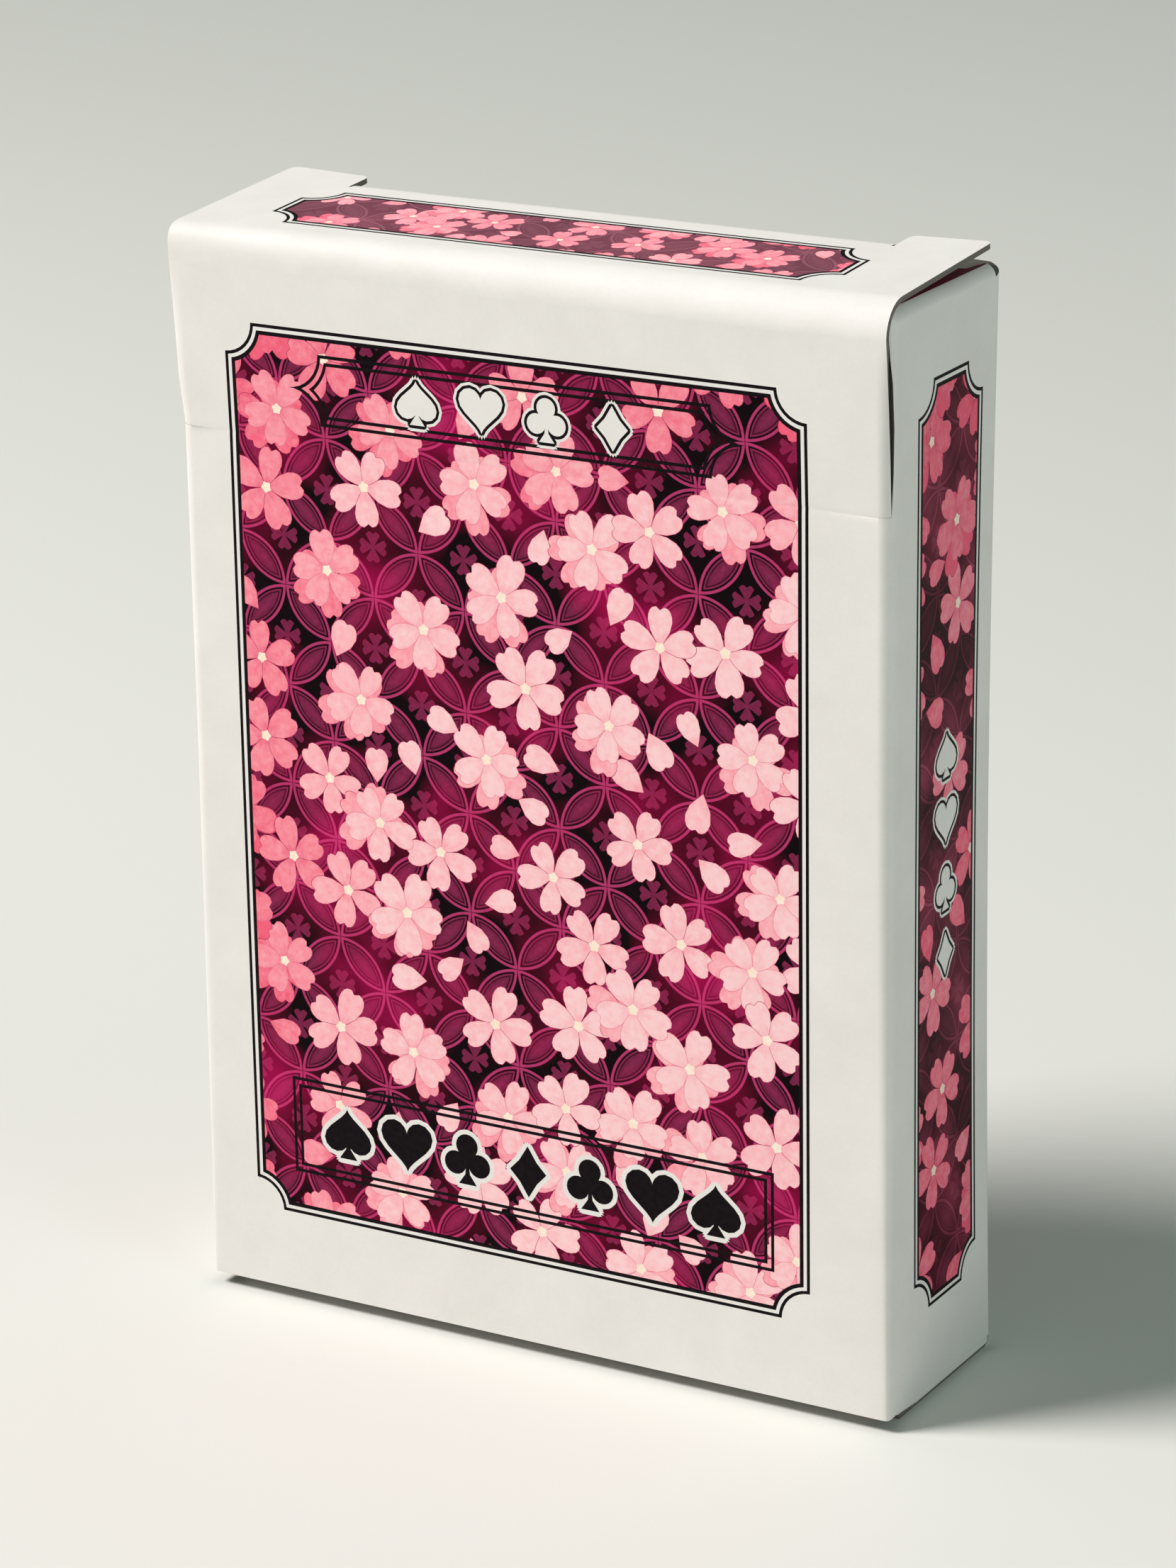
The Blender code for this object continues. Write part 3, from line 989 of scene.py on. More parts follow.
# How strongly a lens is inked at a depth inside its outline: two lines, then a core
LENS_BANDS = (
    (0.0, 0.0), (0.008, 1.0), (0.038, 1.0), (0.047, 0.0), (0.066, 0.0), (0.075, 0.5), (0.09, 0.5),
    (0.097, 0.08), (0.107, 0.08), (0.118, 0.34), (0.207, 0.5)
)


def lattice_material(name, grounds, lights):
    """Interlocking circles whose overlaps are lenses, and a floret in each gap between them.

    The grounds and the lights are three colours each, for the patches from dark to glowing.
    """
    shading = Shading(name, PRINT_ROUGHNESS)
    calc = shading.math
    vector, u, v = shading.place("print")
    right = calc("SUBTRACT", u, LENS_ANCHOR[0])
    up = calc("SUBTRACT", v, LENS_ANCHOR[1])
    sides = []
    for diagonal in (calc("ADD", right, up), calc("SUBTRACT", up, right)):
        cell = calc("FRACT", calc("MULTIPLY", diagonal, CIRCLE_RADIUS / LENS_LENGTH))
        sides.append(calc("ABSOLUTE", calc("SUBTRACT", cell, 0.5)))
    large = calc("MAXIMUM", *sides)
    small = calc("MINIMUM", *sides)
    to_next = calc("SUBTRACT", 1.0, large)
    squares = calc("MULTIPLY_ADD", to_next, to_next, calc("MULTIPLY", small, small))
    depth = calc("SUBTRACT", CIRCLE_RADIUS, calc("SQRT", squares))
    stops = [(band_depth / LENS_SPAN, value) for band_depth, value in LENS_BANDS]
    lens = shading.ramp(calc("DIVIDE", depth, LENS_SPAN), *stops)
    floret = lattice_floret(calc, *sides)
    grain = shading.noise(vector, *LATTICE_GRAIN)
    ink = calc("MULTIPLY", calc("MAXIMUM", lens, floret), calc("ADD", grain, LEAST_INK))
    patches = shading.noise(vector, *PATCHES)
    ground = shading.ramp(patches, *zip(PATCH_STOPS, grounds))
    light = shading.ramp(patches, *zip(PATCH_STOPS, lights))
    shading.set("Base Color", shading.mix(ink, ground, light))
    shading.set("Specular IOR Level", PRINT_GLOSS)
    return shading.material


FLORET_REACH = 0.21
FLORET_LOBE = 0.052
FLORET_ROUNDNESS = 12.0
FLORET_WIDENING = 0.62
FLORET_FOOT = 0.008
FLORET_INK = 0.4


def lattice_floret(calc, first, second):
    """Four two-lobed petals round the middle of each gap, towards its corners."""
    outward = calc("MULTIPLY", calc("ADD", first, second), CIRCLE_RADIUS)
    sideways = calc("MULTIPLY", calc("SUBTRACT", first, second), CIRCLE_RADIUS)
    across = calc("ABSOLUTE", sideways)
    from_lobe = calc("SUBTRACT", across, FLORET_LOBE)
    rounding = calc("MULTIPLY", calc("MULTIPLY", from_lobe, from_lobe), FLORET_ROUNDNESS)
    short = calc("LESS_THAN", calc("ADD", outward, rounding), FLORET_REACH)
    slim = calc("LESS_THAN", across, calc("MULTIPLY_ADD", outward, FLORET_WIDENING, FLORET_FOOT))
    return calc("MULTIPLY", calc("MULTIPLY", short, slim), FLORET_INK)


PETAL_STOPS = (0.0, 0.45, 0.95)
PETAL_PALE = (srgb(255, 210, 213), srgb(255, 164, 176), srgb(246, 100, 128))
PETAL_SHADED = (srgb(253, 174, 184), srgb(246, 122, 148), srgb(212, 52, 94))
PETAL_FOOT = ((0.1, 0.8), (0.42, 0.0))
PETAL_FLANK = ((0.18, 0.0), (0.4, 0.5))
PETAL_SHADE = 0.7
BRUSH_SHARE = 0.8
BRUSH_OFFSET = 0.36
VEINS = 17.0
VEIN_START = 0.08
VEIN_SHADE = 0.07


def petal_material():
    """Petals pale to deep pink by tone, deeper at their foot and sides, with faint veins."""
    shading = Shading("printed_petal", PRINT_ROUGHNESS)
    calc = shading.math
    vector, _, _ = shading.place("print")
    _, out, side = shading.place("petal")
    tone = shading.node("ShaderNodeAttribute", {"attribute_name": "tone"}).outputs["Fac"]
    brush = shading.noise(vector, *BRUSH)
    deep = calc("MULTIPLY_ADD", brush, BRUSH_SHARE, calc("SUBTRACT", tone, BRUSH_OFFSET))
    pale = shading.ramp(deep, *zip(PETAL_STOPS, PETAL_PALE))
    shaded = shading.ramp(deep, *zip(PETAL_STOPS, PETAL_SHADED))
    foot = shading.ramp(out, *PETAL_FOOT)
    flank = shading.ramp(calc("ABSOLUTE", side), *PETAL_FLANK)
    angle = calc("DIVIDE", side, calc("ADD", out, VEIN_START))
    veins = calc("MULTIPLY", calc("SINE", calc("MULTIPLY", angle, VEINS)), VEIN_SHADE)
    shade = calc("ADD", calc("MULTIPLY", calc("MAXIMUM", foot, flank), PETAL_SHADE), veins)
    shading.set("Base Color", shading.mix(shade, pale, shaded))
    shading.set("Specular IOR Level", PRINT_GLOSS)
    return shading.material


INKS = {
    "board": paper(
        "coated_white_board", srgb(238, 233, 230), srgb(230, 225, 221), roughness=0.55, fibre=0.012),
    "inside": paper(
        "uncoated_board", srgb(222, 217, 207), srgb(206, 200, 189), roughness=0.85, fibre=0.03),
    # The cut edge: the board's grey core, painted darker still as painted shade, because edges lie in
    # shade
    "raw_edge": paper(
        "cut_board_edge_and_painted_shade", srgb(136, 128, 122), srgb(104, 96, 92), roughness=0.9, fibre=0.05),
    "ink_black": flat_ink("printed_black", srgb(14, 8, 11), srgb(26, 18, 22)),
    "berry": flat_ink("printed_berry", srgb(96, 22, 46), srgb(118, 34, 60)),
    "lattice": lattice_material(
        "printed_lattice",
        (srgb(12, 0, 4), srgb(92, 0, 36), srgb(156, 4, 70)),
        (srgb(182, 56, 108), srgb(192, 50, 106), srgb(206, 54, 116))),
    "dark_lattice": lattice_material(
        "printed_dark_lattice",
        (srgb(44, 4, 14), srgb(104, 28, 48), srgb(146, 52, 78)),
        (srgb(96, 26, 48), srgb(140, 56, 82), srgb(172, 80, 108))),
    "dusky_lattice": lattice_material(
        "printed_dusky_lattice",
        (srgb(118, 64, 80), srgb(128, 68, 85), srgb(140, 74, 90)),
        (srgb(146, 88, 102), srgb(155, 92, 108), srgb(164, 97, 114))),
    "petal": petal_material(),
    "petal_edge": flat_ink("printed_crimson", srgb(190, 44, 92), srgb(146, 16, 64)),
    "petal_fold": flat_ink("printed_rose", srgb(240, 128, 152), srgb(228, 100, 132)),
    "pollen": flat_ink("printed_cream", srgb(255, 240, 224), srgb(255, 222, 196)),
    "card_white": plain_ink("card_white", srgb(240, 238, 232)),
    "card_edge": plain_ink("card_edge", srgb(226, 221, 210)),
    "card_black": plain_ink("card_black", srgb(18, 15, 17)),
    "card_red": plain_ink("card_red", srgb(186, 22, 40)),
    "card_back": plain_ink("card_back_berry", srgb(96, 20, 52)),
    "card_line": plain_ink("card_back_rose", srgb(222, 128, 156)),
}


# Carton pieces


def squared(offset, first, second, turned, power):
    """A place on a round fold, moved out towards the corner of the fold's two panels.

    The share turned runs from the first direction to the second. A power of 1 keeps the fold round.
    """
    angle = math.pi / 2 * turned
    return offset.length * (math.cos(angle) ** power * first + math.sin(angle) ** power * second)


def sharpened(place, centre, power):
    """A section's place, squared where it lies on the fold at the outer, lower side of a centre."""
    offset = place - centre
    side = Vector((math.copysign(1.0, centre.x), 0.0))
    down = Vector((0.0, -1.0))
    if offset.dot(side) <= 0 or offset.dot(down) <= 0:
        return place
    return centre + squared(offset, side, down, side.angle(offset) * 2 / math.pi, power)


def skewed(point):
    """The lid sits askew: its left edge flares out, and its rear lies a little to the left and turned."""
    beside = clamp((-point.x - FLARE_START) / (HALF_WIDTH - FLARE_START))
    up = clamp((point.z - CREASE) / FLARE_RISE)
    back = clamp((point.y - FRONT) / (REAR - FRONT))
    leftwards = LID_FLARE * beside * up * up * (3 - 2 * up) + LID_YAW * back
    return point - Vector((leftwards, LID_TURN * back * point.x / HALF_WIDTH, 0))


STRIP_HEADING = 90 + STRIP_LEAN
FOLD_TURN = STRIP_HEADING - LID_TILT
FOLD_CENTRE = LID_FOLD + TOP_RADIUS * right_of(STRIP_HEADING)


def lid_shape(point):
    """The lid's front fold is tighter towards the left, and the whole lid sits askew."""
    offset = point.yz - FOLD_CENTRE
    front = -right_of(STRIP_HEADING)
    top = -right_of(LID_TILT)
    turned = math.degrees(front.angle_signed(offset)) / FOLD_TURN
    if 0 < turned < 1:
        tight = clamp((TIGHT_START - point.x) / (TIGHT_START + HALF_WIDTH))
        place = FOLD_CENTRE + squared(offset, front, top, turned, 1 - TIGHTNESS * tight)
        point = Vector((point.x, *place))
    return skewed(point)


def pressed(point):
    """The rear right edge is pressed in at half height."""
    rightwards = clamp((point.x + HALF_WIDTH) / (2 * HALF_WIDTH))
    share = rightwards ** 2 * clamp((point.y - FRONT) / (REAR - FRONT))
    return point + PRESSED_IN * share * math.sin(math.pi * clamp(point.z / REAR_TOP))


def sleeve_shape(point):
    """The front folds are sharper towards the foot, and the rear edge is pressed in."""
    centre = Vector((math.copysign(HALF_WIDTH - SIDE_RADIUS, point.x), FRONT + SIDE_RADIUS))
    power = 1 - FOOT_SHARPNESS * clamp(1 - point.z / FOOT_SHARP_HEIGHT)
    return pressed(Vector((*sharpened(point.xy, centre, power), point.z)))


STRIP_LENGTH = (LID_FOLD - Vector((FRONT, CREASE))).length
FRONT_LENGTH = CREASE + STRIP_LENGTH
SCORE_LINES = [SCORE_WIDTH * step / SCORE_STEPS for step in range(1, SCORE_STEPS + 1)]

# A panel's u runs across the fold and its v along it, on boards that are bent in a YZ section
ACROSS_AND_ALONG = ((0, 1), (1, 0))


def centred_grid(half):
    """Lines at even steps from the middle to both sides."""
    columns = int(half / GRID)
    return [GRID * step for step in range(-columns, columns + 1)]


def side_curl(place, end):
    """How far a panel that ends in a side fold falls away at a place near that end."""
    beyond = max(0.0, abs(place) - (end - SIDE_RADIUS))
    return SIDE_RADIUS - math.sqrt(SIDE_RADIUS ** 2 - beyond ** 2)


def front_sink(x, height):
    """How deep the front panel lies: it bellies out between its folds and is scored at the crease."""
    over = 1 - (x / (HALF_WIDTH - SIDE_RADIUS)) ** 2
    up = math.sin(math.pi * clamp((height - FRONT_BOTTOM) / (FRONT_LENGTH - FRONT_BOTTOM)))
    score = max(0.0, 1 - abs(height - CREASE) / SCORE_WIDTH)
    return SCORE_DEPTH * score ** 2 - FRONT_BELLY * max(0.0, over) * up


def make_sleeve():
    """Front, rear and side panels in one blank, from the glue flap round to the left side's free edge."""
    seam_x = -HALF_WIDTH + BOARD + SEAM_GAP
    panel_width = 2 * (HALF_WIDTH - SIDE_RADIUS)
    panel_depth = REAR - FRONT - 2 * SIDE_RADIUS
    fold = Fold(
        (seam_x, GLUE_FLAP_FRONT), 90,
        REAR - SEAM_RADIUS - GLUE_FLAP_FRONT,
        (SEAM_RADIUS, 90),
        HALF_WIDTH - SIDE_RADIUS - seam_x - SEAM_RADIUS,
        (SIDE_RADIUS, 90),
        panel_depth,
        (SIDE_RADIUS, 90),
        panel_width,
        (SIDE_RADIUS, 90),
        panel_depth + SIDE_RADIUS - SEAM_SETBACK,
    )
    starts = [leg[0] for leg in fold.legs]
    _, seam, rear, rear_end, right, right_end, front, front_end, left = starts
    rear_middle = rear - (seam_x + SEAM_RADIUS)
    right_middle = (right + right_end) / 2
    front_middle = (front + front_end) / 2
    left_middle = left + panel_depth / 2
    slit = []
    for share, degrees in SLIT_EDGE:
        slit.append((SIDE_RADIUS * math.radians(degrees), CREASE + (SIDE_TOP - CREASE) * share))
    notch_rise = math.degrees(math.asin(NOTCH_ABOVE_EDGE / NOTCH_RADIUS))
    notch = []
    for step in range(NOTCH_STEPS + 1):
        angle = -notch_rise - (180 - 2 * notch_rise) * step / NOTCH_STEPS
        notch.append(Vector((rear_middle, REAR_TOP + NOTCH_ABOVE_EDGE)) + NOTCH_RADIUS * along(angle))
    outline = [
        (0, GLUE_FLAP_ENDS[0] + GLUE_FLAP_TAPER), (seam, GLUE_FLAP_ENDS[0]), (rear, BOTTOM_FOLD),
        (rear_end, BOTTOM_FOLD), (rear_end + CORNER_RISE, SIDE_BOTTOM),
        (right_end - CORNER_RISE, SIDE_BOTTOM), (right_end, FRONT_BOTTOM), (left, FRONT_BOTTOM),
        (left + CORNER_RISE, SIDE_BOTTOM), (fold.length, SIDE_BOTTOM),
        (fold.length, SIDE_TOP), *((front_end + off, height) for off, height in reversed(slit)),
        *((front - off, height) for off, height in slit), (right + CORNER_RISE, SIDE_TOP),
        (rear_end, SIDE_TOP + POST_RISE), (rear_end - POST_SLOPE, REAR_TOP), *notch,
        (rear, REAR_TOP), (seam, GLUE_FLAP_ENDS[1]), (0, GLUE_FLAP_ENDS[1] - GLUE_FLAP_TAPER),
    ]

    def sink(distance, height):
        if front < distance < front_end:
            return front_sink(front_middle - distance, height)
        return 0.0

    sheet = Sheet(fold, "XY", sink, sleeve_shape)
    leftwards, up = (-1, 0), (0, 1)
    panels = [
        Panel(FRONT_ART, (front_middle, 0), leftwards, up),
        Panel(REAR_ART, (rear_middle, 0), leftwards, up),
        Panel(RIGHT_ART, (right_middle, 0), leftwards, up),
        Panel(LEFT_ART, (left_middle, 0), leftwards, up),
    ]
    lines = stations(front, panel_width) + stations(rear, panel_width)
    grid = stations(0, REAR_TOP) + [CREASE - line for line in SCORE_LINES]
    sleeve = board("sleeve_board", sheet, [Vector(p) for p in outline], panels, lines=lines, grid=grid)
    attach(sleeve, "carton")
    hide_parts("carton_sleeve")


def foot_shape(point):
    """The foot flaps have a sharp crease, and their front corners lift off the bottom lid."""
    centre = Vector((math.copysign(HALF_WIDTH - FOOT_FLAP_RADIUS, point.x), SIDE_BOTTOM))
    x, z = sharpened(point.xz, centre, 1 - FOOT_CREASE)
    ahead = clamp(1 - (point.y - FOOT_ROOT[0]) / FOOT_LIFT_REACH)
    outward = clamp(1 - (HALF_WIDTH - abs(x)) / FOOT_LIFT_REACH)
    lift = (SIDE_BOTTOM - z) * FOOT_LIFT * ahead * outward
    return Vector((x, point.y, z)) + Vector((0, 0, lift))


def make_foot_flap(name, mirrored):
    """A flap folded in from the foot of a side panel, on top of the bottom lid."""
    tip = -HALF_WIDTH + FOOT_FLAP_RADIUS + FOOT_FLAP_REACH
    fold = Fold((tip, FOOT_FLAP_HEIGHT), 180, FOOT_FLAP_REACH, (FOOT_FLAP_RADIUS, 90))
    front, rear = FOOT_FLAP_SIDES
    outline = [Vector(p) for p in (
        (0, front), (FOOT_FLAP_REACH, front), (fold.length, FOOT_ROOT[0]), (fold.length, FOOT_ROOT[1]),
        (FOOT_FLAP_REACH, rear), (0, rear),
    )]
    lines = [FOOT_FLAP_REACH - FOOT_LIFT_REACH * share for share in FOOT_LIFT_LINES]
    grid = [FOOT_TUCK_START, *(FOOT_ROOT[0] + FOOT_LIFT_REACH * share for share in FOOT_LIFT_GRID)]

    def sink(distance, y):
        """The front end of the root lies inside the side panel's foot."""
        return FOOT_TUCK * clamp((FOOT_TUCK_START - y) / CORNER_RISE)

    sheet = Sheet(fold, "XZ", sink, foot_shape, mirrored)
    flap = board(name, sheet, outline, lines=lines, grid=grid)
    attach(flap, "carton")


def section_point(fold, distance):
    """A point of a YZ section, in metres."""
    point, _ = fold.at(distance)
    return (0, point.x * MM, point.y * MM)


def make_lid_strip():
    """The upper part of the front panel, between the slits, which turns at the crease."""
    fold = Fold((FRONT, CREASE), STRIP_HEADING, STRIP_LENGTH)
    half = HALF_WIDTH - LID_INSET

    def curl_share(distance):
        return 1 - clamp(distance / STRIP_LENGTH) ** 2

    def sink(distance, x):
        """Beside the crease the strip's edges still follow the carton's side folds."""
        return front_sink(x, CREASE + distance) + side_curl(x, HALF_WIDTH) * curl_share(distance)

    def lean(distance, x):
        beyond = max(0.0, abs(x) - (HALF_WIDTH - SIDE_RADIUS))
        return math.copysign(math.asin(beyond / SIDE_RADIUS), x) * curl_share(distance)

    lines = SCORE_LINES + stations(0, STRIP_LENGTH, CURL_STEP)
    grid = centred_grid(half)
    for share in CURL_SHARES:
        across = HALF_WIDTH - SIDE_RADIUS + share * (SIDE_RADIUS - LID_INSET)
        grid += [-across, across]
    sheet = Sheet(fold, "YZ", sink, skewed, lean=lean)
    panel = Panel(FRONT_ART, (-CREASE, 0), *ACROSS_AND_ALONG)
    outline = box_outline((0, -half), (STRIP_LENGTH, half))
    strip = board("lid_strip_board", sheet, outline, [panel], lines=lines, grid=grid)
    section_point(fold, 0)
    section_point(fold, SCORE_WIDTH)
    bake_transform(strip)
    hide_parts("lid_hinge_strip")


EAR_LENGTH = (EAR_REAR - TAB_NECK.x) / math.cos(math.radians(LID_TILT))


def make_lid_top():
    """The top panel with its rounded front fold, and the two ears beside the tab's neck."""
    bend = (TOP_RADIUS, FOLD_TURN)
    bend_only = Fold(LID_FOLD, STRIP_HEADING, bend)
    flat_start = bend_only.length
    bend_end, _ = bend_only.at(flat_start)
    to_neck = (TAB_NECK.x - bend_end.x) / math.cos(math.radians(LID_TILT))
    neck = flat_start + to_neck
    ear = neck + EAR_LENGTH
    fold = Fold(LID_FOLD, STRIP_HEADING, bend, to_neck + EAR_LENGTH)
    half = HALF_WIDTH - LID_INSET
    outline = rounded_outline([
        (0, -half),
        (ear, -half, EAR_CORNER),
        (ear - EAR_SLANT, EAR_INNER[0], EAR_INNER_CORNER),
        (neck, EAR_INNER[0]),
        (neck, EAR_INNER[1]),
        (ear - EAR_SLANT, EAR_INNER[1], EAR_INNER_CORNER),
        (ear, half, EAR_CORNER),
        (0, half),
    ])
    panel = Panel(TOP_ART, (0, 0), *ACROSS_AND_ALONG)
    sheet = Sheet(fold, "YZ", warp=lid_shape)
    lid = board("lid_top_board", sheet, outline, [panel], grid=centred_grid(half))
    section_point(fold, 0)
    section_point(fold, flat_start)
    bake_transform(lid)
    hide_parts("lid_top")


def make_tuck_tab():
    """The tab: a neck bent down between the ears, and wings that reach under them."""
    bend = (TAB_RADIUS, 90 + LID_TILT - TAB_LEAN)
    fold = Fold(TAB_NECK, LID_TILT, bend, TAB_STRAIGHT)
    slit = EAR_LENGTH + WING_GAP
    neck_left = EAR_INNER[0] + TAB_NECK_GAP
    neck_right = EAR_INNER[1] - TAB_NECK_GAP
    foot = TAB_HALF - TAB_TAPER
    outline = rounded_outline([
        (0, neck_left),
        (slit, neck_left),
        (slit + WING_SLOPE, -TAB_HALF),
        (fold.length, -foot, TAB_CORNER),
        (fold.length, foot, TAB_CORNER),
        (slit + WING_SLOPE, TAB_HALF),
        (slit, neck_right),
        (0, neck_right),
    ])
    tab = board("tuck_tab_board", Sheet(fold, "YZ", warp=skewed), outline)
    section_point(fold, 0)
    section_point(fold, fold.start(1))
    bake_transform(tab)
    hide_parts("lid_tuck_tab")


def make_dust_flap(name, node, mirrored):
    """A printed flap folded in from a side panel's top edge, with tapered front and rear edges."""
    fold = Fold((-HALF_WIDTH, SIDE_TOP), 90, (FLAP_RADIUS, 90), FLAP_REACH - FLAP_RADIUS)
    tip = fold.length
    bend_end = fold.start(1)
    root_front = FRONT + SIDE_RADIUS * (1 - math.cos(math.radians(SLIT_EDGE[-1][1])))
    outline = rounded_outline([
        (0, root_front),
        (bend_end / 2, FLAP_BEND_FRONT),
        (bend_end, FLAP_FRONT),
        (tip, FLAP_FRONT + FLAP_FRONT_TAPER * (tip - bend_end), FLAP_CORNER),
        (tip, FLAP_REAR - FLAP_REAR_TAPER * (tip - FLAP_SHOULDER), FLAP_CORNER),
        (FLAP_SHOULDER, FLAP_REAR),
        (bend_end, FLAP_ROOT_REAR),
        (0, FLAP_ROOT_REAR),
    ])
    # The berry print starts close to the fold, partly as painted shade: it darkens the band under the
    # lid's edge, where the lid's shade falls
    printed = Artwork(box_outline((-REAR, FLAP_BARE), (REAR, tip + 1)))
    printed.add("berry", printed.field)
    panel = Panel(printed, (0, 0), *ACROSS_AND_ALONG)

    def sink(distance, y):
        """The root's front corner still follows the carton's front fold."""
        return side_curl(min(y, 0.0), -FRONT) * (1 - clamp(distance / bend_end))

    grid = [FRONT + SIDE_RADIUS * (1 - share) for share in FLAP_ROOT_SHARES]
    sheet = Sheet(fold, "XZ", sink, mirrored=mirrored)
    flap = board(name, sheet, outline, [panel], grid=grid)
    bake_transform(flap)
    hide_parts(node)


def receding(point):
    """The bottom closure's front fold lies back at the floor and leaves a gap under the front panel."""
    ahead = clamp((RECESS_START - point.y) / (RECESS_START - BOTTOM_TAB_FOLD))
    return point + Vector((0, RECESS * ahead * clamp(1 - point.z / RECESS_HEIGHT), 0))


def make_bottom_lid():
    """The bottom panel, which hangs on the rear panel."""
    flat = REAR - BOTTOM_FOLD - BOTTOM_TAB_FOLD
    fold = Fold((REAR, BOTTOM_FOLD), -90, (BOTTOM_FOLD, 90), flat)
    half = HALF_WIDTH - BOTTOM_INSET
    lines = stations(fold.start(1), flat, GRID / 2)
    outline = box_outline((0, -half), (fold.length, half))
    lid = board("bottom_lid_board", Sheet(fold, "YZ", warp=receding), outline, lines=lines)
    section_point(fold, 0)
    section_point(fold, fold.start(1))
    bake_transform(lid)
    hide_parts("bottom_lid")


def make_bottom_tab():
    """The bottom panel's tab, tucked up behind the front panel."""
    fold = Fold((BOTTOM_TAB_FOLD, 0), 180, (BOTTOM_TAB_RADIUS, 90), BOTTOM_TAB_STRAIGHT)
    end = fold.length
    half = BOTTOM_TAB_HALF
    corner = BOTTOM_TAB_CORNER
    outline = rounded_outline([(0, -half), (end, -half, corner), (end, half, corner), (0, half)])
    lines = [fold.start(1) + RECESS_HEIGHT]
    tab = board("bottom_tab_board", Sheet(fold, "YZ", warp=receding), outline, lines=lines)
    section_point(fold, 0)
    section_point(fold, fold.start(1))
    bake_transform(tab)
    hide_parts("bottom_tuck_tab")


# Cards

CORNERS = [(-1, 1), (1, 1), (-1, -1), (1, -1)]
WAISTS = [(-1, 0), (1, 0)]
THIRDS = [(-1, 1 / 3), (1, 1 / 3), (-1, -1 / 3), (1, -1 / 3)]
ENDS = [(0, 1), (0, -1)]
CENTRE = [(0, 0)]
PIPS = {
    "ace": CENTRE,
    "two": ENDS,
    "three": ENDS + CENTRE,
    "four": CORNERS,
    "five": CORNERS + CENTRE,
    "six": CORNERS + WAISTS,
    "seven": CORNERS + WAISTS + [(0, 0.5)],
    "eight": CORNERS + WAISTS + [(0, 0.5), (0, -0.5)],
    "nine": CORNERS + THIRDS + CENTRE,
    "ten": CORNERS + THIRDS + [(0, 2 / 3), (0, -2 / 3)],
}
INDICES = {"ace": "A", "jack": "J", "queen": "Q", "king": "K", "ten": "10"}
COURTS = ("jack", "queen", "king")
CARD_CORNER = 3.5
PIP_SPREAD = (13.0, 27.5)
PIP_HEIGHT = 11.0
ACE_HEIGHT = 18.0
INDEX_PLACE = (-26.2, 37.4)
INDEX_HEIGHT = 7.6
INDEX_SIGN_DROP = 7.0
INDEX_SIGN_HEIGHT = 5.2
COURT_FRAME = ((-19.5, -34.0), (19.5, 34.0))
COURT_LINES = ((0.0, 0.45), (1.1, 1.35))
COURT_LETTER_HEIGHT = 26.0
COURT_SIGN_PLACE = (-12.0, 25.5)
BACK_MARGIN = 4.0
BACK_LATTICE = 6.4
BACK_LINE = 0.55
BACK_FRAME = (0.7, 1.2)
CARD_INKS = ("card_white", "card_white", "card_edge")
GLYPH_FINENESS = 4


def glyph_loops(text):
    """Outlines of characters in Blender's own font, one unit high and centred: filled ones and holes."""
    data = bpy.data.curves.new("glyph", "FONT")
    data.body = text
    data.align_x = "CENTER"
    data.align_y = "CENTER"
    data.resolution_u = GLYPH_FINENESS
    writing = new_object("glyph", data)
    mesh = writing.evaluated_get(bpy.context.evaluated_depsgraph_get()).to_mesh()
    mesh.calc_loop_triangles()
    points = [vertex.co.xy.copy() for vertex in mesh.vertices]
    loops = boundary([tuple(triangle.vertices) for triangle in mesh.loop_triangles])
    outlines = [[points[index] for index in loop] for loop in loops]
    bpy.data.objects.remove(writing)
    bpy.data.curves.remove(data)
    filled = [outline for outline in outlines if anticlockwise(outline) is outline]
    holes = [outline for outline in outlines if anticlockwise(outline) is not outline]
    return filled, holes


def add_letter(artwork, glyph, ink, place, height, turn):
    for outlines, fill in zip(glyph, (ink, "card_white")):
        for outline in outlines:
            artwork.add(fill, moved(outline, place, turn, (height, height)), clipped=False)


def card_face(rank, suit, glyph, field):
    """Indices in two corners, and pips, or for a court card a framed letter."""
    artwork = Artwork(field)
    ink = "card_black" if suit in ("spades", "clubs") else "card_red"
    layers = ((ink, 0),)
    for end in (1, -1):
        turn = 0 if end == 1 else 180
        place = Vector(INDEX_PLACE) * end
        sign_place = place - Vector((0, INDEX_SIGN_DROP)) * end
        add_letter(artwork, glyph, ink, place, INDEX_HEIGHT, turn)
        add_sign(artwork, suit, sign_place, INDEX_SIGN_HEIGHT, layers, turn)
    if rank in COURTS:
        for outside, inside in COURT_LINES:
            outer = ticket_outline(*COURT_FRAME, 0, outside)
            artwork.add(ink, outer, hole=ticket_outline(*COURT_FRAME, 0, inside), clipped=False)
        add_letter(artwork, glyph, ink, (0, 0), COURT_LETTER_HEIGHT, 0)
        add_sign(artwork, suit, COURT_SIGN_PLACE, PIP_HEIGHT, layers)
        add_sign(artwork, suit, -Vector(COURT_SIGN_PLACE), PIP_HEIGHT, layers, 180)
        return artwork
    height = ACE_HEIGHT if rank == "ace" else PIP_HEIGHT
    for column, row in PIPS[rank]:
        place = (column * PIP_SPREAD[0], row * PIP_SPREAD[1])
        add_sign(artwork, suit, place, height, layers, 180 if row < 0 else 0)
    return artwork


def card_back(half_width, half_height):
    """A plain diamond lattice in a white margin."""
    low = (BACK_MARGIN - half_width, BACK_MARGIN - half_height)
    high = (-low[0], -low[1])
    field = box_outline(low, high)
    artwork = Artwork(field)
    artwork.add("card_back", field)
    span = half_width + half_height
    for step in range(-int(span / BACK_LATTICE), int(span / BACK_LATTICE) + 1):
        for turn in (45, -45):
            bar = box_outline((-span, -BACK_LINE / 2), (span, BACK_LINE / 2))
            artwork.add("card_line", moved(bar, (step * BACK_LATTICE, 0), turn))
    outside, inside = (ticket_outline(low, high, 0, inset) for inset in BACK_FRAME)
    artwork.add("card_line", outside, hole=inside)
    return artwork


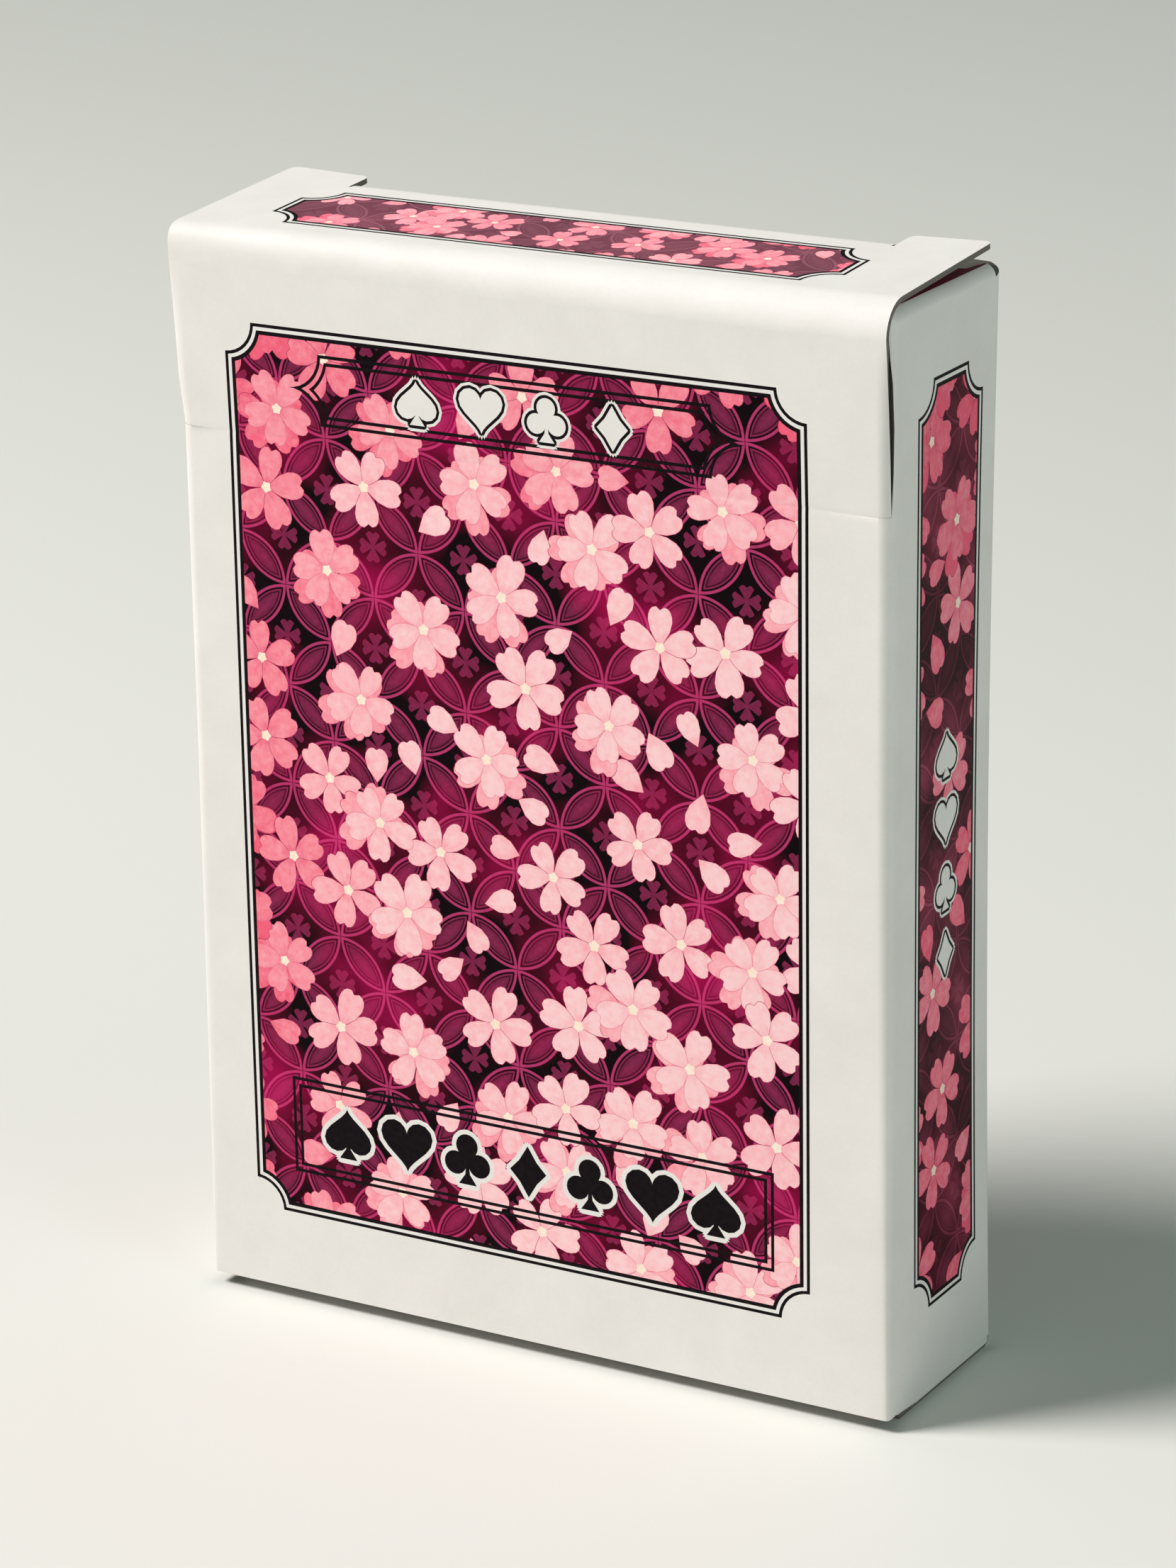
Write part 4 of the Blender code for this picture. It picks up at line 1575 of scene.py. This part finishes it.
def make_cards():
    low, high = node_box("ace_of_spades")
    width = high.x - low.x
    height = high.z - low.z
    middle = (low.x + high.x) / 2
    outline = rounded_outline([
        (0, low.x, CARD_CORNER),
        (height, low.x, CARD_CORNER),
        (height, high.x, CARD_CORNER),
        (0, high.x, CARD_CORNER),
    ])
    field = box_outline((-width / 2, -height / 2), (width / 2, height / 2))
    back = Panel(card_back(width / 2, height / 2), (height / 2, middle), (0, -1), (1, 0))
    for number, rank in enumerate(RANKS, 1):
        glyph = glyph_loops(INDICES.get(rank, str(number)))
        for suit in SUITS:
            node = f"{rank}_of_{suit}"
            low, high = node_box(node)
            sheet = Sheet(Fold((low.y, low.z), 90, height), "YZ")
            artwork = card_face(rank, suit, glyph, field)
            face = Panel(artwork, (height / 2, middle), *ACROSS_AND_ALONG)
            thickness = high.y - low.y
            card = board(
                f"card_{node}", sheet, outline, [face], [back], thickness=thickness, inks=CARD_INKS)
            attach(card, "deck")
            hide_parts(node)


FRONT_ART = front_artwork(seed=11)
REAR_ART = front_artwork(seed=29)
RIGHT_ART = side_artwork(seed=5)
LEFT_ART = side_artwork(seed=17)
TOP_ART = top_artwork(seed=3)
make_sleeve()
make_foot_flap("foot_flap_left", False)
make_foot_flap("foot_flap_right", True)
make_lid_strip()
make_lid_top()
make_tuck_tab()
make_dust_flap("dust_flap_left_board", "dust_flap_left", False)
make_dust_flap("dust_flap_right_board", "dust_flap_right", True)
make_bottom_lid()
make_bottom_tab()
make_cards()


# Stage: floor, lights and the photograph's camera

CAMERA_AZIMUTH = 30.01
CAMERA_ELEVATION = 18.48
CAMERA_ROLL = -0.91
CAMERA_DISTANCE = 437.2
CAMERA_TARGET = Vector((-0.12, 0.0, 47.66))
CAMERA_LENS = 121.4
SENSOR = 36.0


def make_camera():
    azimuth, elevation = math.radians(CAMERA_AZIMUTH), math.radians(CAMERA_ELEVATION)
    flat = math.cos(elevation)
    back = Vector((math.sin(azimuth) * flat, -math.cos(azimuth) * flat, math.sin(elevation)))
    aim = (-back).to_track_quat("-Z", "Y").to_matrix()
    turn = aim @ Matrix.Rotation(math.radians(CAMERA_ROLL), 3, "Z")
    place = (CAMERA_TARGET + back * CAMERA_DISTANCE) * MM
    data = bpy.data.cameras.new("camera")
    data.lens = CAMERA_LENS
    data.sensor_width = SENSOR
    camera = new_object("camera", data)
    camera.matrix_world = Matrix.Translation(place) @ turn.to_4x4()
    bpy.context.scene.camera = camera


FLOOR_RADIUS = 4000.0
FLOOR_DROP = 0.02
FLOOR_SIDES = 48
FLOOR_ROUGHNESS = 0.8
FLOOR_GLOSS = 0.2
# Painted shade on the floor: from the first colour to the darker second over this depth away from the
# camera
FLOOR_SHADE_REACH = 450.0
FLOOR_SHADE_STOPS = ((0.25, srgb(230, 228, 223)), (1.0, srgb(221, 220, 215)))


def make_floor():
    """A pale floor, painted a little darker away from the camera as painted shade where the light falls
    off.
    """
    shading = Shading("pale_floor", FLOOR_ROUGHNESS)
    place = shading.node("ShaderNodeNewGeometry").outputs["Position"]
    depth = shading.node("ShaderNodeSeparateXYZ", Vector=place).outputs[1]
    share = shading.math("DIVIDE", depth, FLOOR_SHADE_REACH * MM)
    shading.set("Base Color", shading.ramp(share, *FLOOR_SHADE_STOPS))
    shading.set("Specular IOR Level", FLOOR_GLOSS)
    mesh = bpy.data.meshes.new("floor")
    rim = [Vector((*p, -FLOOR_DROP)) * MM for p in circle((0, 0), FLOOR_RADIUS, FLOOR_SIDES)]
    mesh.from_pydata(rim, [], [list(range(len(rim)))])
    mesh.materials.append(shading.material)
    floor = new_object("floor", mesh)


Lamp = namedtuple("Lamp", "name place watts tint")
LAMPS = (
    Lamp("key", (-820, -620, 1250), 28.2, (1.0, 0.968, 0.955)),
    Lamp("fill", (1000, -280, 450), 1.9, (0.82, 1.0, 1.0)),
)
LAMP_SIZE = 600.0
LAMP_TARGET = Vector((0, 0, 50))
SKY_COLOUR = srgb(206, 230, 219)
SKY_STRENGTH = 0.25


def make_lights():
    world = bpy.data.worlds.new("studio")
    world.use_nodes = True
    background = world.node_tree.nodes["Background"]
    background.inputs["Color"].default_value = SKY_COLOUR
    background.inputs["Strength"].default_value = SKY_STRENGTH
    bpy.context.scene.world = world
    for lamp in LAMPS:
        data = bpy.data.lights.new(lamp.name, "AREA")
        data.shape = "DISK"
        data.size = LAMP_SIZE * MM
        data.energy = lamp.watts
        data.color = lamp.tint
        light = new_object(lamp.name, data)
        light.location = Vector(lamp.place) * MM
        light.rotation_mode = "QUATERNION"
        light.rotation_quaternion = (LAMP_TARGET - Vector(lamp.place)).to_track_quat("-Z", "Y")


make_camera()
make_floor()
make_lights()
bpy.context.scene.view_settings.view_transform = "Standard"
